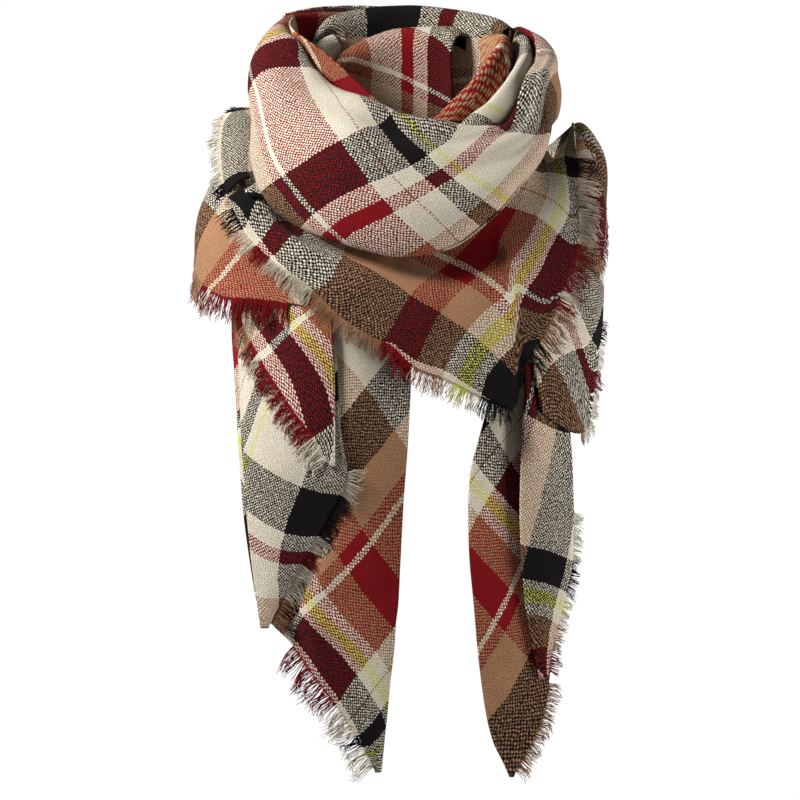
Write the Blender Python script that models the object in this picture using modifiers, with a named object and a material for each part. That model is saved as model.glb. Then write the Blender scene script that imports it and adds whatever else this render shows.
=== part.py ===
"""A square plaid blanket scarf, folded on the diagonal and wound once round the neck, as thin cloth walls.

The scarf hangs as worn: a swag at the front of the neck, the folded corner below it as a bib, and the two long
ends hanging from beneath the bib. Each stretch that shows is its own node. Lengths are in millimetres here and
in metres in the scene. The front faces -Y, and the origin is the middle of the wearer's neck at its base.
"""

import math
import random

import bpy
import mathutils
import numpy as np
from mathutils.bvhtree import BVHTree

NAME = "tartan_blanket_scarf"
MM = 0.001

WALL = 2.0  # thickness of the cloth
GAP = 0.6  # air left between two stretches that lie on each other
SQUASH = 0.8  # depth of the wearer's neck and shoulders over their width
STRIP_REACH = 2.4  # width of the band that holds a fringe's roots
STRIP_WALL = 1.5
STRIP_GAP = 0.7

CREAM = (0.86, 0.77, 0.63)
CAMEL = (0.58, 0.31, 0.15)
RED = (0.31, 0.01, 0.02)
BLACK = (0.02, 0.02, 0.02)
GREY = (0.30, 0.27, 0.24)
WINE = (0.13, 0.01, 0.02)

# Stretches that go round the neck. A row is one section: the turn in degrees round the neck (0 at the front,
# minus to the left as seen from the front, 180 at the nape), then (reach, height) pairs from the neck outwards.
COWL_FRONT = (
    # turn   inner       rim         brow        belly       fold        tuck
    (-158, (98, 102), (110, 146), (124, 126), (134, 70), (125, 10), (113, 4)),
    (-120, (100, 108), (115, 146), (132, 130), (142, 86), (124, 16), (112, 8)),
    (-90, (96, 102), (112, 136), (132, 123), (143, 86), (120, 30), (108, 8)),
    (-76, (88, 94), (103, 127), (130, 114), (143, 79), (134, 18), (122, 0)),
    (-65, (84, 84), (97, 109), (127, 103), (145, 70), (147, 8), (136, 1)),
    (-45, (76, 62), (88, 85), (123, 84), (152, 46), (157, -27), (144, -30)),
    (-20, (78, 50), (94, 78), (128, 70), (165, 17), (159, -50), (144, -48)),
    (0, (86, 36), (106, 65), (140, 46), (171, -10), (160, -64), (146, -58)),
    (15, (92, 32), (112, 60), (144, 40), (171, -16), (161, -60), (147, -54)),
    (30, (98, 28), (116, 54), (142, 46), (167, 2), (160, -36), (147, -30)),
    (45, (107, 28), (125, 53), (144, 48), (161, 20), (158, -6), (147, -6)),
    (54, (112, 42), (124, 68), (139, 66), (156, 42), (157, 12), (147, 9)),
    (60, (112, 54), (122, 88), (135, 90), (151, 62), (156, 26), (147, 22)),
    (68, (113, 62), (122, 101), (133, 105), (145, 76), (150, 40), (141, 34)),
    (78, (114, 70), (122, 109), (132, 112), (143, 83), (146, 52), (138, 44)),
    (95, (114, 77), (122, 119), (131, 121), (143, 85), (143, 50), (133, 40)),
    (124, (110, 80), (119, 131), (128, 133), (138, 96), (133, 41), (121, 30)),
)
NAPE_WRAP = (
    # turn   edge        brow        belly       hem
    (104, (125, 92), (129, 82), (130, 70), (127, 58)),
    (126, (125, 104), (129, 92), (130, 70), (126, 48)),
    (142, (117, 134), (130, 114), (139, 60), (136.5, -6)),
    (180, (108, 148), (125, 128), (138, 60), (125, -16)),
    (212, (116, 151), (132, 130), (143, 62), (134, -14)),
    (242, (125, 146), (139, 126), (147, 76), (141, 11)),
)
ROLL_RIGHT_MIDDLE = (
    # turn   inner      rim         brow        fold        tuck
    (18, (90, 12), (97, 34), (105, 38), (109, 27), (105, 13)),
    (35, (95, 34), (102, 61), (112, 65), (118, 51), (110, 33)),
    (45, (96, 44), (103, 70), (113, 76), (119, 60), (111, 41)),
    (55, (97, 56), (104, 82), (113, 91), (119, 75), (111, 47)),
    (69, (99, 66), (104, 98), (112, 107), (118, 90), (111, 55)),
    (90, (100, 75), (105, 114), (112, 122), (118, 106), (112, 65)),
    (113, (102, 80), (107, 126), (113, 133), (117, 114), (111, 70)),
    (132, (103, 82), (108, 133), (112, 137), (114, 106), (109, 68)),
)
ROLL_RIGHT_INNER = (
    # turn   inner      rim        brow       fold       tuck
    (8, (66, 32), (69, 45), (77, 49), (81, 41), (79, 28)),
    (22, (70, 44), (73, 56), (80, 61), (86, 53), (84, 38)),
    (38, (74, 60), (77, 76), (84, 81), (90, 73), (89, 50)),
    (50, (76, 74), (80, 91), (86, 96), (93, 86), (92, 56)),
    (68, (78, 86), (81, 109), (87, 114), (94, 101), (93, 64)),
    (85, (80, 92), (84, 119), (90, 124), (96, 111), (95, 70)),
    (100, (84, 96), (88, 125), (93, 129), (98, 114), (96, 74)),
    (125, (85, 98), (89, 126), (92, 128), (95, 112), (92, 76)),
)
NECK_INNER_WRAP = (
    # turn   foot       waist      rim         turned      hem
    (-222, (61, 18), (65, 62), (76, 127), (82.7, 128), (82.7, 112)),
    (-210, (60, 16), (65, 66), (77, 132), (83.7, 134), (83.7, 118)),
    (-180, (59, 14), (64, 66), (76, 131), (82, 132), (82, 115)),
    (-150, (60, 16), (65, 64), (74, 120), (80, 121), (80, 106)),
    (-118, (60, 18), (64, 58), (71, 100), (76, 101), (76, 87)),
    (-78, (58, 10), (60, 36), (64, 66), (68, 67), (69, 54)),
)
NECK_BACK_BAND = (
    # turn   foot       waist      rim          turned       hem
    (-112, (84, 54), (88, 84), (93, 108), (97, 109), (98, 98)),
    (-140, (84, 52), (88, 98), (97, 142), (103, 144), (104, 126)),
    (-180, (84, 50), (89, 100), (98, 149), (104, 152), (105, 135)),
    (-206, (85, 52), (90, 98), (97, 146), (102, 149), (103, 132)),
    (-222, (87, 56), (91, 96), (97, 143), (102, 146), (103, 130)),
    (-238, (89, 62), (93, 98), (98, 138), (103, 141), (104, 125)),
    (-248, (91, 70), (95, 100), (99, 133), (104, 136), (105, 121)),
)
NECK_LEFT_FOLD = (
    # turn   foot       waist      rim         turned     hem
    (-62, (74, 54), (76, 76), (80, 92), (84, 92), (85, 82)),
    (-85, (76, 56), (79, 84), (85, 104), (90, 105), (91, 94)),
    (-110, (74, 58), (75, 92), (84, 116), (91, 117), (93, 104)),
    (-134, (80, 60), (83, 90), (90, 126), (95, 127), (96, 112)),
)
RIM_TURN_LEFT = (
    # turn   hem        middle     rim
    (-108, (102, 116), (104, 133), (108, 145)),
    (-90, (99, 108), (101, 126), (105, 138)),
    (-65, (85, 92), (87, 111), (91, 123)),
    (-45, (75, 73), (77, 92), (81, 103)),
    (-26, (73, 56), (75, 74), (79, 84)),
    (-10, (76, 42), (79, 58), (84, 67)),
)
BIB = (
    # turn    top          throat       middle       hem
    (-62, (120, 8), (132, -13), (157, -2), (182, -12)),
    (-57, (120, 2), (132, -20), (158, -6.8), (184, -24)),
    (-51, (120, -8), (132, -36), (160, -27), (184, -43)),
    (-41, (120, -20), (132, -50), (160, -45), (185, -63)),
    (-29, (120, -28), (133, -56), (157, -61), (181, -85)),
    (-20, (122, -32), (134, -60), (156, -74), (178, -111)),
    (-10, (122, -38), (134, -66), (156, -84), (176, -130)),
    (-4, (122, -42), (134, -70), (157, -90), (176, -138)),
    (3, (122, -42), (134, -70), (158, -96), (178, -158)),
    (12, (122, -40), (134, -69), (158, -98), (179, -169)),
    (21, (122, -30), (134, -60), (159, -94), (180, -184)),
    (34, (123, -10), (135, -40), (162, -86), (182, -198)),
)
BIB_RIGHT = (
    (34, (123, -10), (135, -40), (162, -86), (182, -198)),
    (36, (123, -8), (135, -37), (162, -76), (182, -156)),
    (38, (123, -4), (135, -33), (162, -72), (182, -148)),
    (45, (124, 8), (136, -20), (162, -56), (182, -127)),
    (52, (126, 20), (138, -6), (162, -36), (182, -90)),
    (60, (128, 34), (140, 8), (162, -8), (182, -52)),
    (63, (129, 38), (141, 14), (160, 8), (177, -12)),
    (68, (129, 34), (141, 15), (156, 24), (168, 26)),
    (74, (130, 32), (142, 18.5), (152, 33.5), (159, 53)),
)
SHOULDER_LEFT = (
    # turn    top         middle      hem
    (-104, (138, 58), (149, 60), (158, 60)),
    (-92, (132, 46), (151, 50), (166, 49)),
    (-84, (134, 38), (154, 40), (169, 34)),
    (-76, (143, 26), (158, 26), (172, 16)),
    (-69, (149, 12), (163, 10), (176, -1)),
    (-64, (153, 6), (167, 2), (179, -8)),
)
SHOULDER_RIGHT = (
    # turn   top         shoulder    side        hem
    (60, (136, -10), (148, -22), (162, -44), (171, -84)),
    (66, (139, -6), (156, -5), (171, -22), (179, -80)),
    (72, (140, 8), (159, 27), (180, 2), (186, -76)),
    (80, (139, 8), (163, 44), (182, 18), (186, -48)),
    (90, (137, 14), (161, 50), (178, 28), (183, -16)),
    (100, (134, 14), (154, 40), (169, 32), (174, 8)),
    (110, (130, 14), (145, 26), (156, 26), (161, 12)),
    (125, (126, 10), (137, 14), (146, 10), (149, -2)),
    (145, (122, 4), (129, 4), (135, -4), (137, -16)),
    (165, (119, -2), (124, -4), (128, -12), (128, -22)),
)
BIB_UNDER_LEFT = (
    # turn    top          shoulder    side         hem
    (-165, (112, -10), (120, -11), (125, -18), (128, -30)),
    (-145, (114, -8), (126, -8), (135, -17), (140, -34)),
    (-120, (118, -4), (138, 3), (154, -10), (164, -42)),
    (-100, (126, -2), (154, 10), (176, -14), (188, -66)),
    (-84, (134, -14), (168, 2), (187, -28), (194, -84)),
    (-77, (136, -18), (164, -4), (184, -34), (193, -92)),
    (-69, (138, -24), (160, -18), (180, -46), (190, -98)),
    (-60, (138, -34), (156, -34), (174, -60), (185, -103)),
    (-50, (137, -48), (150, -50), (167, -72), (177, -102)),
    (-40, (136, -58), (146, -62), (159, -80), (170, -104)),
    (-33, (135, -64), (144, -70), (155, -84), (166, -106)),
)
BIB_UNDER_RIGHT = (
    # turn    top          middle       hem
    (44, (143, -44), (158, -112), (174, -204)),
    (50, (144, -40), (162, -112), (178, -216)),
    (60, (149, -34), (170, -112), (184, -228)),
    (65, (155, -30), (174, -102), (184, -226)),
    (70, (160, -26), (180, -90), (184, -190)),
    (76, (165, -22), (184, -66), (186, -130)),
)

# Panels that hang free. A row is one height: where the left and right edges are, how far each stands forward of
# the line between the two and how much the middle bows forward.
TAIL_LEFT_BACK = (
    # height  left   right  reach  bow
    (-92, -132, 4, 152.5, 0),
    (-115, -158, 6, 161, 0),
    (-170, -155, 6, 166, 2),
    (-230, -151, 4, 172, 4),
    (-290, -147, 0, 176, 5),
    (-350, -139, -3, 180, 5),
    (-380, -134, -5, 182, 4),
    (-396, -123, -7, 183, 4),
    (-415, -104, -8, 183, 4),
    (-450, -77, -12, 184, 3),
    (-478, -56, -15, 184, 2),
    (-502, -41, -18, 184, 1),
    (-524, -30, -21, 184, 0),
    (-532, -27, -22, 184, 0),
)
TAIL_LEFT_FLAP = (
    (-96, -134, -60, 156, 0),
    (-120, -152, -62, 164, 1),
    (-180, -150, -60, 170, 3),
    (-230, -148, -56, 176, 4),
    (-257, -146, -52, 179, 4),
    (-290, -144, -66, 181, 4),
    (-330, -140, -88, 184, 3),
    (-370, -135, -110, 186, 2),
    (-400, -131, -124, 187, 0),
)
TAIL_LEFT_TOP = (
    (-98, -130, -66, 161, 0),
    (-120, -148, -65, 168, 1),
    (-150, -134, -64, 172.5, 2),
    (-195, -104, -63, 178.8, 2),
    (-230, -78, -63, 182.5, 1),
    (-250, -68, -63, 184, 0),
)
TAIL_RIGHT_BACK = (
    (-90, 92, 130, 151, 0),
    (-200, 74, 142, 158, 0),
    (-230, 66, 142, 164, 2),
    (-257, 59, 142, 168, 3),
    (-290, 57, 142, 172, 4),
    (-330, 58, 141, 176, 4),
    (-375, 62, 139, 180, 4),
    (-430, 67, 134, 183, 3),
    (-480, 74, 126, 184, 2),
    (-504, 80, 116, 184, 1),
    (-525, 90, 104, 184, 0),
    (-537, 95, 99, 184, 0),
)
TAIL_RIGHT_FLAP = (
    (-110, 104, 138, 152, 0),
    (-180, 108, 150, 164, 0),
    (-215, 106, 154, 170, 2),
    (-290, 104, 157, 178, 5),
    (-340, 106, 155, 182, 5),
    (-375, 109, 147, 184, 4),
    (-410, 115, 137, 186, 2),
    (-446, 122, 130, 187, 0),
)

# Folds pressed or raised along a line across a stretch: from (round, across) to (round, across) in parts of its
# whole width, then how far it stands out and how wide it is in the same parts.
COWL_FOLDS = (
    # from          to            rise  width
    ((0.34, 0.62), (0.78, 0.82), -7.0, 0.055),
    ((0.40, 0.42), (0.86, 0.58), -6.0, 0.05),
    ((0.44, 0.55), (0.80, 0.70), 4.0, 0.05),
    ((0.30, 0.30), (0.66, 0.34), -4.0, 0.05),
)
BIB_FOLDS = (
    ((0.28, 0.95), (0.40, 0.30), 4.0, 0.035),
    ((0.52, 0.98), (0.58, 0.35), -4.0, 0.04),
    ((0.68, 0.95), (0.72, 0.30), 5.0, 0.035),
)
TAIL_LEFT_FOLDS = (
    ((0.0, 0.62), (0.9, 0.70), -4.0, 0.09),
    ((0.1, 0.85), (0.8, 0.88), 3.0, 0.07),
)
TAIL_RIGHT_FOLDS = (
    ((0.0, 0.45), (0.95, 0.55), 4.0, 0.12),
    ((0.2, 0.20), (0.9, 0.35), -3.0, 0.09),
)


def ease(at, knots, values):
    """Reads a table of values at places between its knots, with no overshoot."""
    knots = np.asarray(knots, float)
    values = np.asarray(values, float).reshape(len(knots), -1)
    step = np.diff(knots)
    rise = np.diff(values, axis=0) / step[:, None]
    slope = np.zeros_like(values)
    slope[0], slope[-1] = rise[0], rise[-1]
    both = rise[1:] * rise[:-1]
    total = rise[1:] + rise[:-1]
    slope[1:-1] = np.where(both > 0, 2 * both / np.where(both > 0, total, 1), 0)
    at = np.clip(np.asarray(at, float), knots[0], knots[-1])
    k = np.clip(np.searchsorted(knots, at, side="right") - 1, 0, len(knots) - 2)
    t = ((at - knots[k]) / step[k])[:, None]
    h = step[k][:, None]
    start = (2 * t**3 - 3 * t**2 + 1) * values[k] + (t**3 - 2 * t**2 + t) * h * slope[k]
    end = (3 * t**2 - 2 * t**3) * values[k + 1] + (t**3 - t**2) * h * slope[k + 1]
    return start + end


def curve_through(points, count):
    """Even points along a smooth curve through a section's few points."""
    points = np.asarray(points, float)
    run = np.concatenate([[0], np.cumsum(np.linalg.norm(np.diff(points, axis=0), axis=1))])
    slope = np.gradient(points, run, axis=0)
    at = np.linspace(0, run[-1], 90)
    k = np.clip(np.searchsorted(run, at, side="right") - 1, 0, len(run) - 2)
    h = np.diff(run)[k][:, None]
    t = (at - run[k])[:, None] / h
    start = (2 * t**3 - 3 * t**2 + 1) * points[k] + (t**3 - 2 * t**2 + t) * h * slope[k]
    end = (3 * t**2 - 2 * t**3) * points[k + 1] + (t**3 - t**2) * h * slope[k + 1]
    dense = start + end
    walked = np.concatenate([[0], np.cumsum(np.linalg.norm(np.diff(dense, axis=0), axis=1))])
    even = np.linspace(0, walked[-1], count)
    return np.stack([np.interp(even, walked, dense[:, i]) for i in range(points.shape[1])], axis=1)


def around(turn, section):
    """Stands a (reach, height) section at its turn round the neck."""
    angle = np.radians(turn)
    reach, height = section[:, 0], section[:, 1]
    return np.stack([reach * np.sin(angle), -SQUASH * reach * np.cos(angle), height], axis=1)


def wound(rows, stations, across):
    """A grid of points for a stretch that goes round the neck, by station and then from the neck outwards."""
    if rows[0][0] > rows[-1][0]:
        rows = rows[::-1]
    turns = np.linspace(rows[0][0], rows[-1][0], stations)
    sections = ease(turns, [row[0] for row in rows], [np.ravel(row[1:]) for row in rows])
    return np.array([around(t, curve_through(s.reshape(-1, 2), across)) for t, s in zip(turns, sections)])


def hanging(rows, stations, across):
    """A grid of points for a panel that hangs, by station down it and then from its left edge to its right."""
    rows = rows[::-1]
    heights = np.linspace(rows[-1][0], rows[0][0], stations)
    values = ease(heights, [row[0] for row in rows], [row[1:] for row in rows])
    part = np.linspace(0, 1, across)
    grid = np.empty((stations, across, 3))
    for i, (height, (left, right, reach, bow)) in enumerate(zip(heights, values)):
        x = left + (right - left) * part
        round_back = np.sqrt(np.maximum(reach**2 - x**2, 15.0**2))
        flat = reach * 0.80
        free = np.clip((-height - 110) / 190, 0, 1)
        forward = round_back * (1 - 0.75 * free) + flat * 0.75 * free
        grid[i] = np.stack([x, -SQUASH * forward - bow * np.sin(math.pi * part), np.full(across, height)], axis=1)
    return grid


def normals(grid):
    """Unit normals of a grid, on the side where station x across turns."""
    along = np.gradient(grid, axis=0)
    over = np.gradient(grid, axis=1)
    normal = np.cross(along, over)
    return normal / np.maximum(np.linalg.norm(normal, axis=2, keepdims=True), 1e-9)


def folded(grid, folds):
    """Raises and presses the folds of a table into a grid, outwards where the rise is above 0."""
    outward = outward_of(grid)
    normal = normals(grid)
    normal *= np.sign((normal * outward).sum(axis=2).mean())
    u, v = np.meshgrid(np.linspace(0, 1, grid.shape[0]), np.linspace(0, 1, grid.shape[1]), indexing="ij")
    here = np.stack([u, v], axis=2)
    rise = np.zeros(u.shape)
    for start, end, height, width in folds:
        line = np.subtract(end, start)
        along = np.clip(((here - start) @ line) / (line @ line), 0, 1)
        off = np.linalg.norm(here - start - along[..., None] * line, axis=2)
        rise += height * np.exp(-((off / width) ** 2)) * np.sin(math.pi * np.clip(0.08 + along * 0.84, 0, 1))
    return grid + normal * rise[..., None]


def outward_of(grid):
    """The level direction away from the neck at each point."""
    out = grid * (1.0, 1.0 / SQUASH, 0.0)
    return out / np.maximum(np.linalg.norm(out, axis=-1, keepdims=True), 1e-9)


def quads_of(grid):
    rows, cols = grid.shape[:2]
    index = np.arange(rows * cols).reshape(rows, cols)
    return np.stack([index[:-1, :-1], index[1:, :-1], index[1:, 1:], index[:-1, 1:]], axis=-1).reshape(-1, 4)


def tree_of(grid):
    points = [mathutils.Vector(p) for p in grid.reshape(-1, 3)]
    quads = quads_of(grid)
    triangles = np.concatenate([quads[:, [0, 1, 2]], quads[:, [0, 2, 3]]])
    return BVHTree.FromPolygons(points, triangles.tolist()), triangles


def shortfall(tree, point, way, need, far, most, inward):
    """How far a point must move along its way to clear a surface by need, or how far the surface must."""
    here = mathutils.Vector(point)
    way = mathutils.Vector(way)
    start = here + way * far if inward else here - way * far
    hit, normal, face, away = tree.ray_cast(start, -way if inward else way, far + 3 * need)
    short = 0.0
    if hit is not None:
        lean = max(abs(normal.dot(way)), 0.4)
        short = far - away + need / lean
    if not 0 < short < most:
        hit, normal, face, away = tree.find_nearest(here, need)
        short = need - away if hit is not None else 0.0
    return short, face


def laid_over(grid, below, need=WALL + GAP, far=45.0, most=13.0, passes=14):
    """Moves a stretch away from the neck wherever it would come too near those that it lies on."""
    grid = grid.copy()
    for _ in range(passes):
        push = np.zeros(grid.shape[0] * grid.shape[1])
        own, faces = tree_of(grid)
        ways = outward_of(grid).reshape(-1, 3)
        for other in below:
            tree, _ = tree_of(other)
            for i, (point, way) in enumerate(zip(grid.reshape(-1, 3), ways)):
                push[i] = max(push[i], shortfall(tree, point, way, need, far, most, True)[0])
            for point, way in zip(other.reshape(-1, 3), outward_of(other).reshape(-1, 3)):
                short, face = shortfall(own, point, way, need, far, most, False)
                if short > 0:
                    push[faces[face]] = np.maximum(push[faces[face]], short)
        if push.max() < 0.02:
            break
        grid += outward_of(grid) * push.reshape(grid.shape[:2])[..., None]
    return grid


def cleared(point, below, need=WALL / 2 + STRIP_WALL / 2 + GAP + 0.9):
    """Moves one point of a fringe away from the neck, clear of the stretches below it."""
    point = np.array(point)
    for _ in range(3):
        way = outward_of(point)
        short = max((shortfall(tree, point, way, need, 30.0, 12.0, True)[0] for tree in below), default=0.0)
        if short <= 0:
            break
        point = point + way * short
    return point


def finish_of(name, colour):
    material = bpy.data.materials.new(name + "_cloth")
    material.use_nodes = True
    shader = material.node_tree.nodes["Principled BSDF"]
    shader.inputs["Base Color"].default_value = (*colour, 1.0)
    shader.inputs["Roughness"].default_value = 0.9
    return material


def placed(name, points, faces, colour):
    """Adds an object of these points, given in millimetres."""
    mesh = bpy.data.meshes.new(name)
    mesh.from_pydata((np.asarray(points) * MM).tolist(), [], [list(map(int, f)) for f in faces])
    mesh.materials.append(finish_of(name, colour))
    mesh.validate()
    obj = bpy.data.objects.new(name, mesh)
    collection.objects.link(obj)
    return obj


def cloth(name, grid, colour):
    """A stretch of cloth: a wall of even thickness about its grid."""
    obj = placed(name, grid.reshape(-1, 3), quads_of(grid), colour)
    wall = obj.modifiers.new("wall", "SOLIDIFY")
    wall.thickness = WALL * MM
    wall.offset = 0.0
    wall.use_even_offset = False
    return obj


def fringe(name, edge, below, colour, locks, length, seed, sag=0.25, spread=0.5):
    """A narrow band beside a cloth's edge with a bent, four-sided lock of yarn on each part of it.

    edge holds the line of the edge and, for each of its points, the way out of the cloth and the cloth's normal.
    """
    rng = random.Random(seed)
    trees = [tree_of(other)[0] for other in below]
    line, out, normal = (resampled(part, edge[0], locks + 1) for part in edge)
    out /= np.linalg.norm(out, axis=1, keepdims=True)
    normal /= np.linalg.norm(normal, axis=1, keepdims=True)
    down = np.array((0.0, 0.0, -1.0))
    points, faces = [], []
    line = clear_of_bends(line, out, resampled(edge[0], edge[0], 8 * locks + 1))
    line = np.array([cleared(p, trees) for p in line])
    for p, o, n in zip(line, out, normal):
        near, away = p + o * STRIP_GAP, p + o * (STRIP_GAP + STRIP_REACH)
        half = n * STRIP_WALL / 2
        points += [near - half, near + half, away + half, away - half]
    faces.append((0, 1, 2, 3))
    for i in range(locks):
        a, b = 4 * i, 4 * i + 4
        faces += [(a, b, b + 1, a + 1), (a + 1, b + 1, b + 2, a + 2), (a + 3, b + 3, b, a)]
        middle_out, middle_normal = out[i] + out[i + 1], normal[i] + normal[i + 1]
        way = middle_out / np.linalg.norm(middle_out)
        up = middle_normal / np.linalg.norm(middle_normal)
        side = line[i + 1] - line[i]
        pitch = np.linalg.norm(side)
        side = side / pitch
        root = (points[a + 2] + points[b + 3]) / 2
        reach = length * rng.uniform(0.7, 1.2)
        hang = down - up * (down @ up)
        lean = way + side * rng.uniform(-spread, spread) + hang * sag
        lean /= np.linalg.norm(lean)
        tip_lean = way + side * rng.uniform(-spread, spread) + hang * sag * 2.5
        tip_lean /= np.linalg.norm(tip_lean)
        middle = cleared(root + lean * reach * 0.35 + up * 0.6, trees)
        tip = cleared(middle + tip_lean * reach * 0.65 + up * 1.2, trees)
        width, depth = pitch * 0.24, STRIP_WALL * 0.42
        first = len(points)
        points += [
            middle - side * width - up * depth,
            middle - side * width + up * depth,
            middle + side * width + up * depth,
            middle + side * width - up * depth,
            tip,
        ]
        base = (a + 3, a + 2, b + 2, b + 3)
        for j in range(4):
            k = (j + 1) % 4
            faces.append((base[j], base[k], first + k, first + j))
            faces.append((first + j, first + k, first + 4))
    last = 4 * locks
    faces.append((last + 3, last + 2, last + 1, last))
    return placed(name, points, outward_faces(points, faces), colour)


def clear_of_bends(line, out, edge):
    """Moves the few points of a band outwards where its straight parts would cut across a bend of the edge."""
    part = np.linspace(0, 1, 9)[:, None]
    lift = np.zeros(len(line))
    for i in range(len(line) - 1):
        straight = line[i] * (1 - part) + line[i + 1] * part
        cut = ((edge[8 * i : 8 * i + 9] - straight) @ (out[i] + out[i + 1])).max() / 2
        lift[i : i + 2] = np.maximum(lift[i : i + 2], cut)
    return line + out * lift[:, None]


def outward_faces(points, faces):
    """Turns all faces round together if the closed body they make is inside out."""
    points = np.asarray(points)
    volume = 0.0
    for face in faces:
        for j in range(1, len(face) - 1):
            a, b, c = points[face[0]], points[face[j]], points[face[j + 1]]
            volume += np.dot(a, np.cross(b, c))
    return faces if volume > 0 else [face[::-1] for face in faces]


def resampled(values, line, count):
    run = np.concatenate([[0], np.cumsum(np.linalg.norm(np.diff(line, axis=0), axis=1))])
    even = np.linspace(0, run[-1], count)
    return np.stack([np.interp(even, run, values[:, i]) for i in range(3)], axis=1)


def edge_of(grid, side, part=(0.0, 1.0)):
    """One side of a grid as (line, way out, normal), from one part of its length to another."""
    normal = normals(grid)
    if side == "hem":
        line, out, up = grid[:, -1], grid[:, -1] - grid[:, -2], normal[:, -1]
    elif side == "left":
        line, out, up = grid[:, 0], grid[:, 0] - grid[:, 1], normal[:, 0]
    elif side == "right":
        line, out, up = grid[:, -1], grid[:, -1] - grid[:, -2], normal[:, -1]
    else:
        raise ValueError(side)
    up = up * np.sign((up * outward_of(line)).sum(axis=1).mean())
    square = np.cross(np.gradient(line, axis=0), up)
    out = square * np.sign((square * out).sum(axis=1))[:, None]
    first, last = (round(p * (len(line) - 1)) for p in part)
    return line[first : last + 1], out[first : last + 1], up[first : last + 1]


for old in list(bpy.data.objects):
    bpy.data.objects.remove(old)
collection = bpy.data.collections.new(NAME)
bpy.context.scene.collection.children.link(collection)

# The neck's inside, from the neck outwards.
inner_wrap = wound(NECK_INNER_WRAP, 18, 8)
left_fold = wound(NECK_LEFT_FOLD, 12, 7)
left_fold = laid_over(left_fold, [inner_wrap])
inner_roll = laid_over(wound(ROLL_RIGHT_INNER, 18, 8), [inner_wrap], WALL + 0.2)
back_band = laid_over(wound(NECK_BACK_BAND, 18, 8), [inner_wrap, left_fold, inner_roll])
middle_roll = laid_over(wound(ROLL_RIGHT_MIDDLE, 20, 8), [inner_roll, back_band])
rim_turn = laid_over(wound(RIM_TURN_LEFT, 18, 4), [left_fold, back_band])

# The panels that hang below, from the back forwards.
tail_left_back = folded(hanging(TAIL_LEFT_BACK, 20, 8), TAIL_LEFT_FOLDS)
tail_left_flap = laid_over(hanging(TAIL_LEFT_FLAP, 16, 7), [tail_left_back])
tail_left_top = laid_over(hanging(TAIL_LEFT_TOP, 10, 6), [tail_left_flap, tail_left_back])
tail_right_back = folded(hanging(TAIL_RIGHT_BACK, 20, 7), TAIL_RIGHT_FOLDS)
tail_right_flap = laid_over(hanging(TAIL_RIGHT_FLAP, 16, 6), [tail_right_back])
tails_left = [tail_left_back, tail_left_flap, tail_left_top]
tails_right = [tail_right_back, tail_right_flap]
under_left = laid_over(wound(BIB_UNDER_LEFT, 24, 8), tails_left)
under_right = laid_over(wound(BIB_UNDER_RIGHT, 14, 10), tails_right, WALL + GAP + 0.4)
shoulder_right = laid_over(wound(SHOULDER_RIGHT, 18, 8), [under_right, *tails_right], WALL + GAP + 0.3)

bib_left = wound(BIB, 26, 12)
bib_right = wound(BIB_RIGHT, 15, 12)
bib = folded(np.concatenate([bib_left, bib_right[1:]]), BIB_FOLDS)
bib = laid_over(bib, [under_left, under_right, shoulder_right, *tails_left, *tails_right])
cowl = folded(wound(COWL_FRONT, 42, 13), COWL_FOLDS)
cowl = laid_over(cowl, [bib, under_left, middle_roll, rim_turn, left_fold, back_band])
nape_wrap = laid_over(wound(NAPE_WRAP, 20, 10), [back_band, cowl[:13], shoulder_right, under_left])
shoulder_left = laid_over(wound(SHOULDER_LEFT, 10, 6), [bib, cowl, under_left])

cloth("neck_inner_wrap", inner_wrap, RED)
cloth("neck_left_fold", left_fold, CREAM)
cloth("neck_back_band", back_band, BLACK)
cloth("roll_right_inner", inner_roll, CAMEL)
cloth("roll_right_middle", middle_roll, CREAM)
cloth("nape_wrap", nape_wrap, WINE)
cloth("rim_turn_left", rim_turn, CAMEL)
cloth("cowl_front", cowl, GREY)
cloth("bib", bib, CAMEL)
cloth("shoulder_left", shoulder_left, GREY)
cloth("shoulder_right", shoulder_right, BLACK)
cloth("bib_under_left", under_left, RED)
cloth("bib_under_right", under_right, GREY)
cloth("tail_left_back", tail_left_back, RED)
cloth("tail_left_flap", tail_left_flap, CREAM)
cloth("tail_left_top", tail_left_top, WINE)
cloth("tail_right_back", tail_right_back, CAMEL)
cloth("tail_right_flap", tail_right_flap, CREAM)

CORNER = 25 / 39
below_bib = [under_left, under_right, shoulder_right, *tails_left, *tails_right]
fringe("fringe_bib_left", edge_of(bib, "hem", (0.03, 24 / 39)), below_bib, CAMEL, 46, 15, 1)
fringe("fringe_bib_right", edge_of(bib, "hem", (CORNER, 0.96)), below_bib, RED, 30, 18, 2)
fringe("fringe_shoulder_left", edge_of(shoulder_left, "hem"), [under_left, bib], CREAM, 14, 12, 3)
fringe("fringe_under_left", edge_of(under_left, "hem", (0.6, 0.96)), tails_left, RED, 18, 19, 4)
fringe("fringe_under_right", edge_of(under_right, "hem", (0.5, 1.0)), tails_right, CREAM, 14, 11, 5)
fringe("fringe_shoulder_right", edge_of(shoulder_right, "hem", (0.1, 0.5)), [under_right], BLACK, 12, 10, 11)
fringe("fringe_tail_left_top", edge_of(tail_left_top, "left", (0.2, 0.99)), tails_left[:2], RED, 20, 18, 6)
fringe("fringe_tail_left_flap", edge_of(tail_left_flap, "right", (0.52, 0.99)), tails_left[:1], CREAM, 22, 16, 7)
fringe("fringe_tail_left_back", edge_of(tail_left_back, "left", (0.70, 0.99)), [], BLACK, 22, 20, 8)
fringe("fringe_tail_right_flap", edge_of(tail_right_flap, "right", (0.55, 0.99)), tails_right[:1], CREAM, 12, 9, 9)
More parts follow.
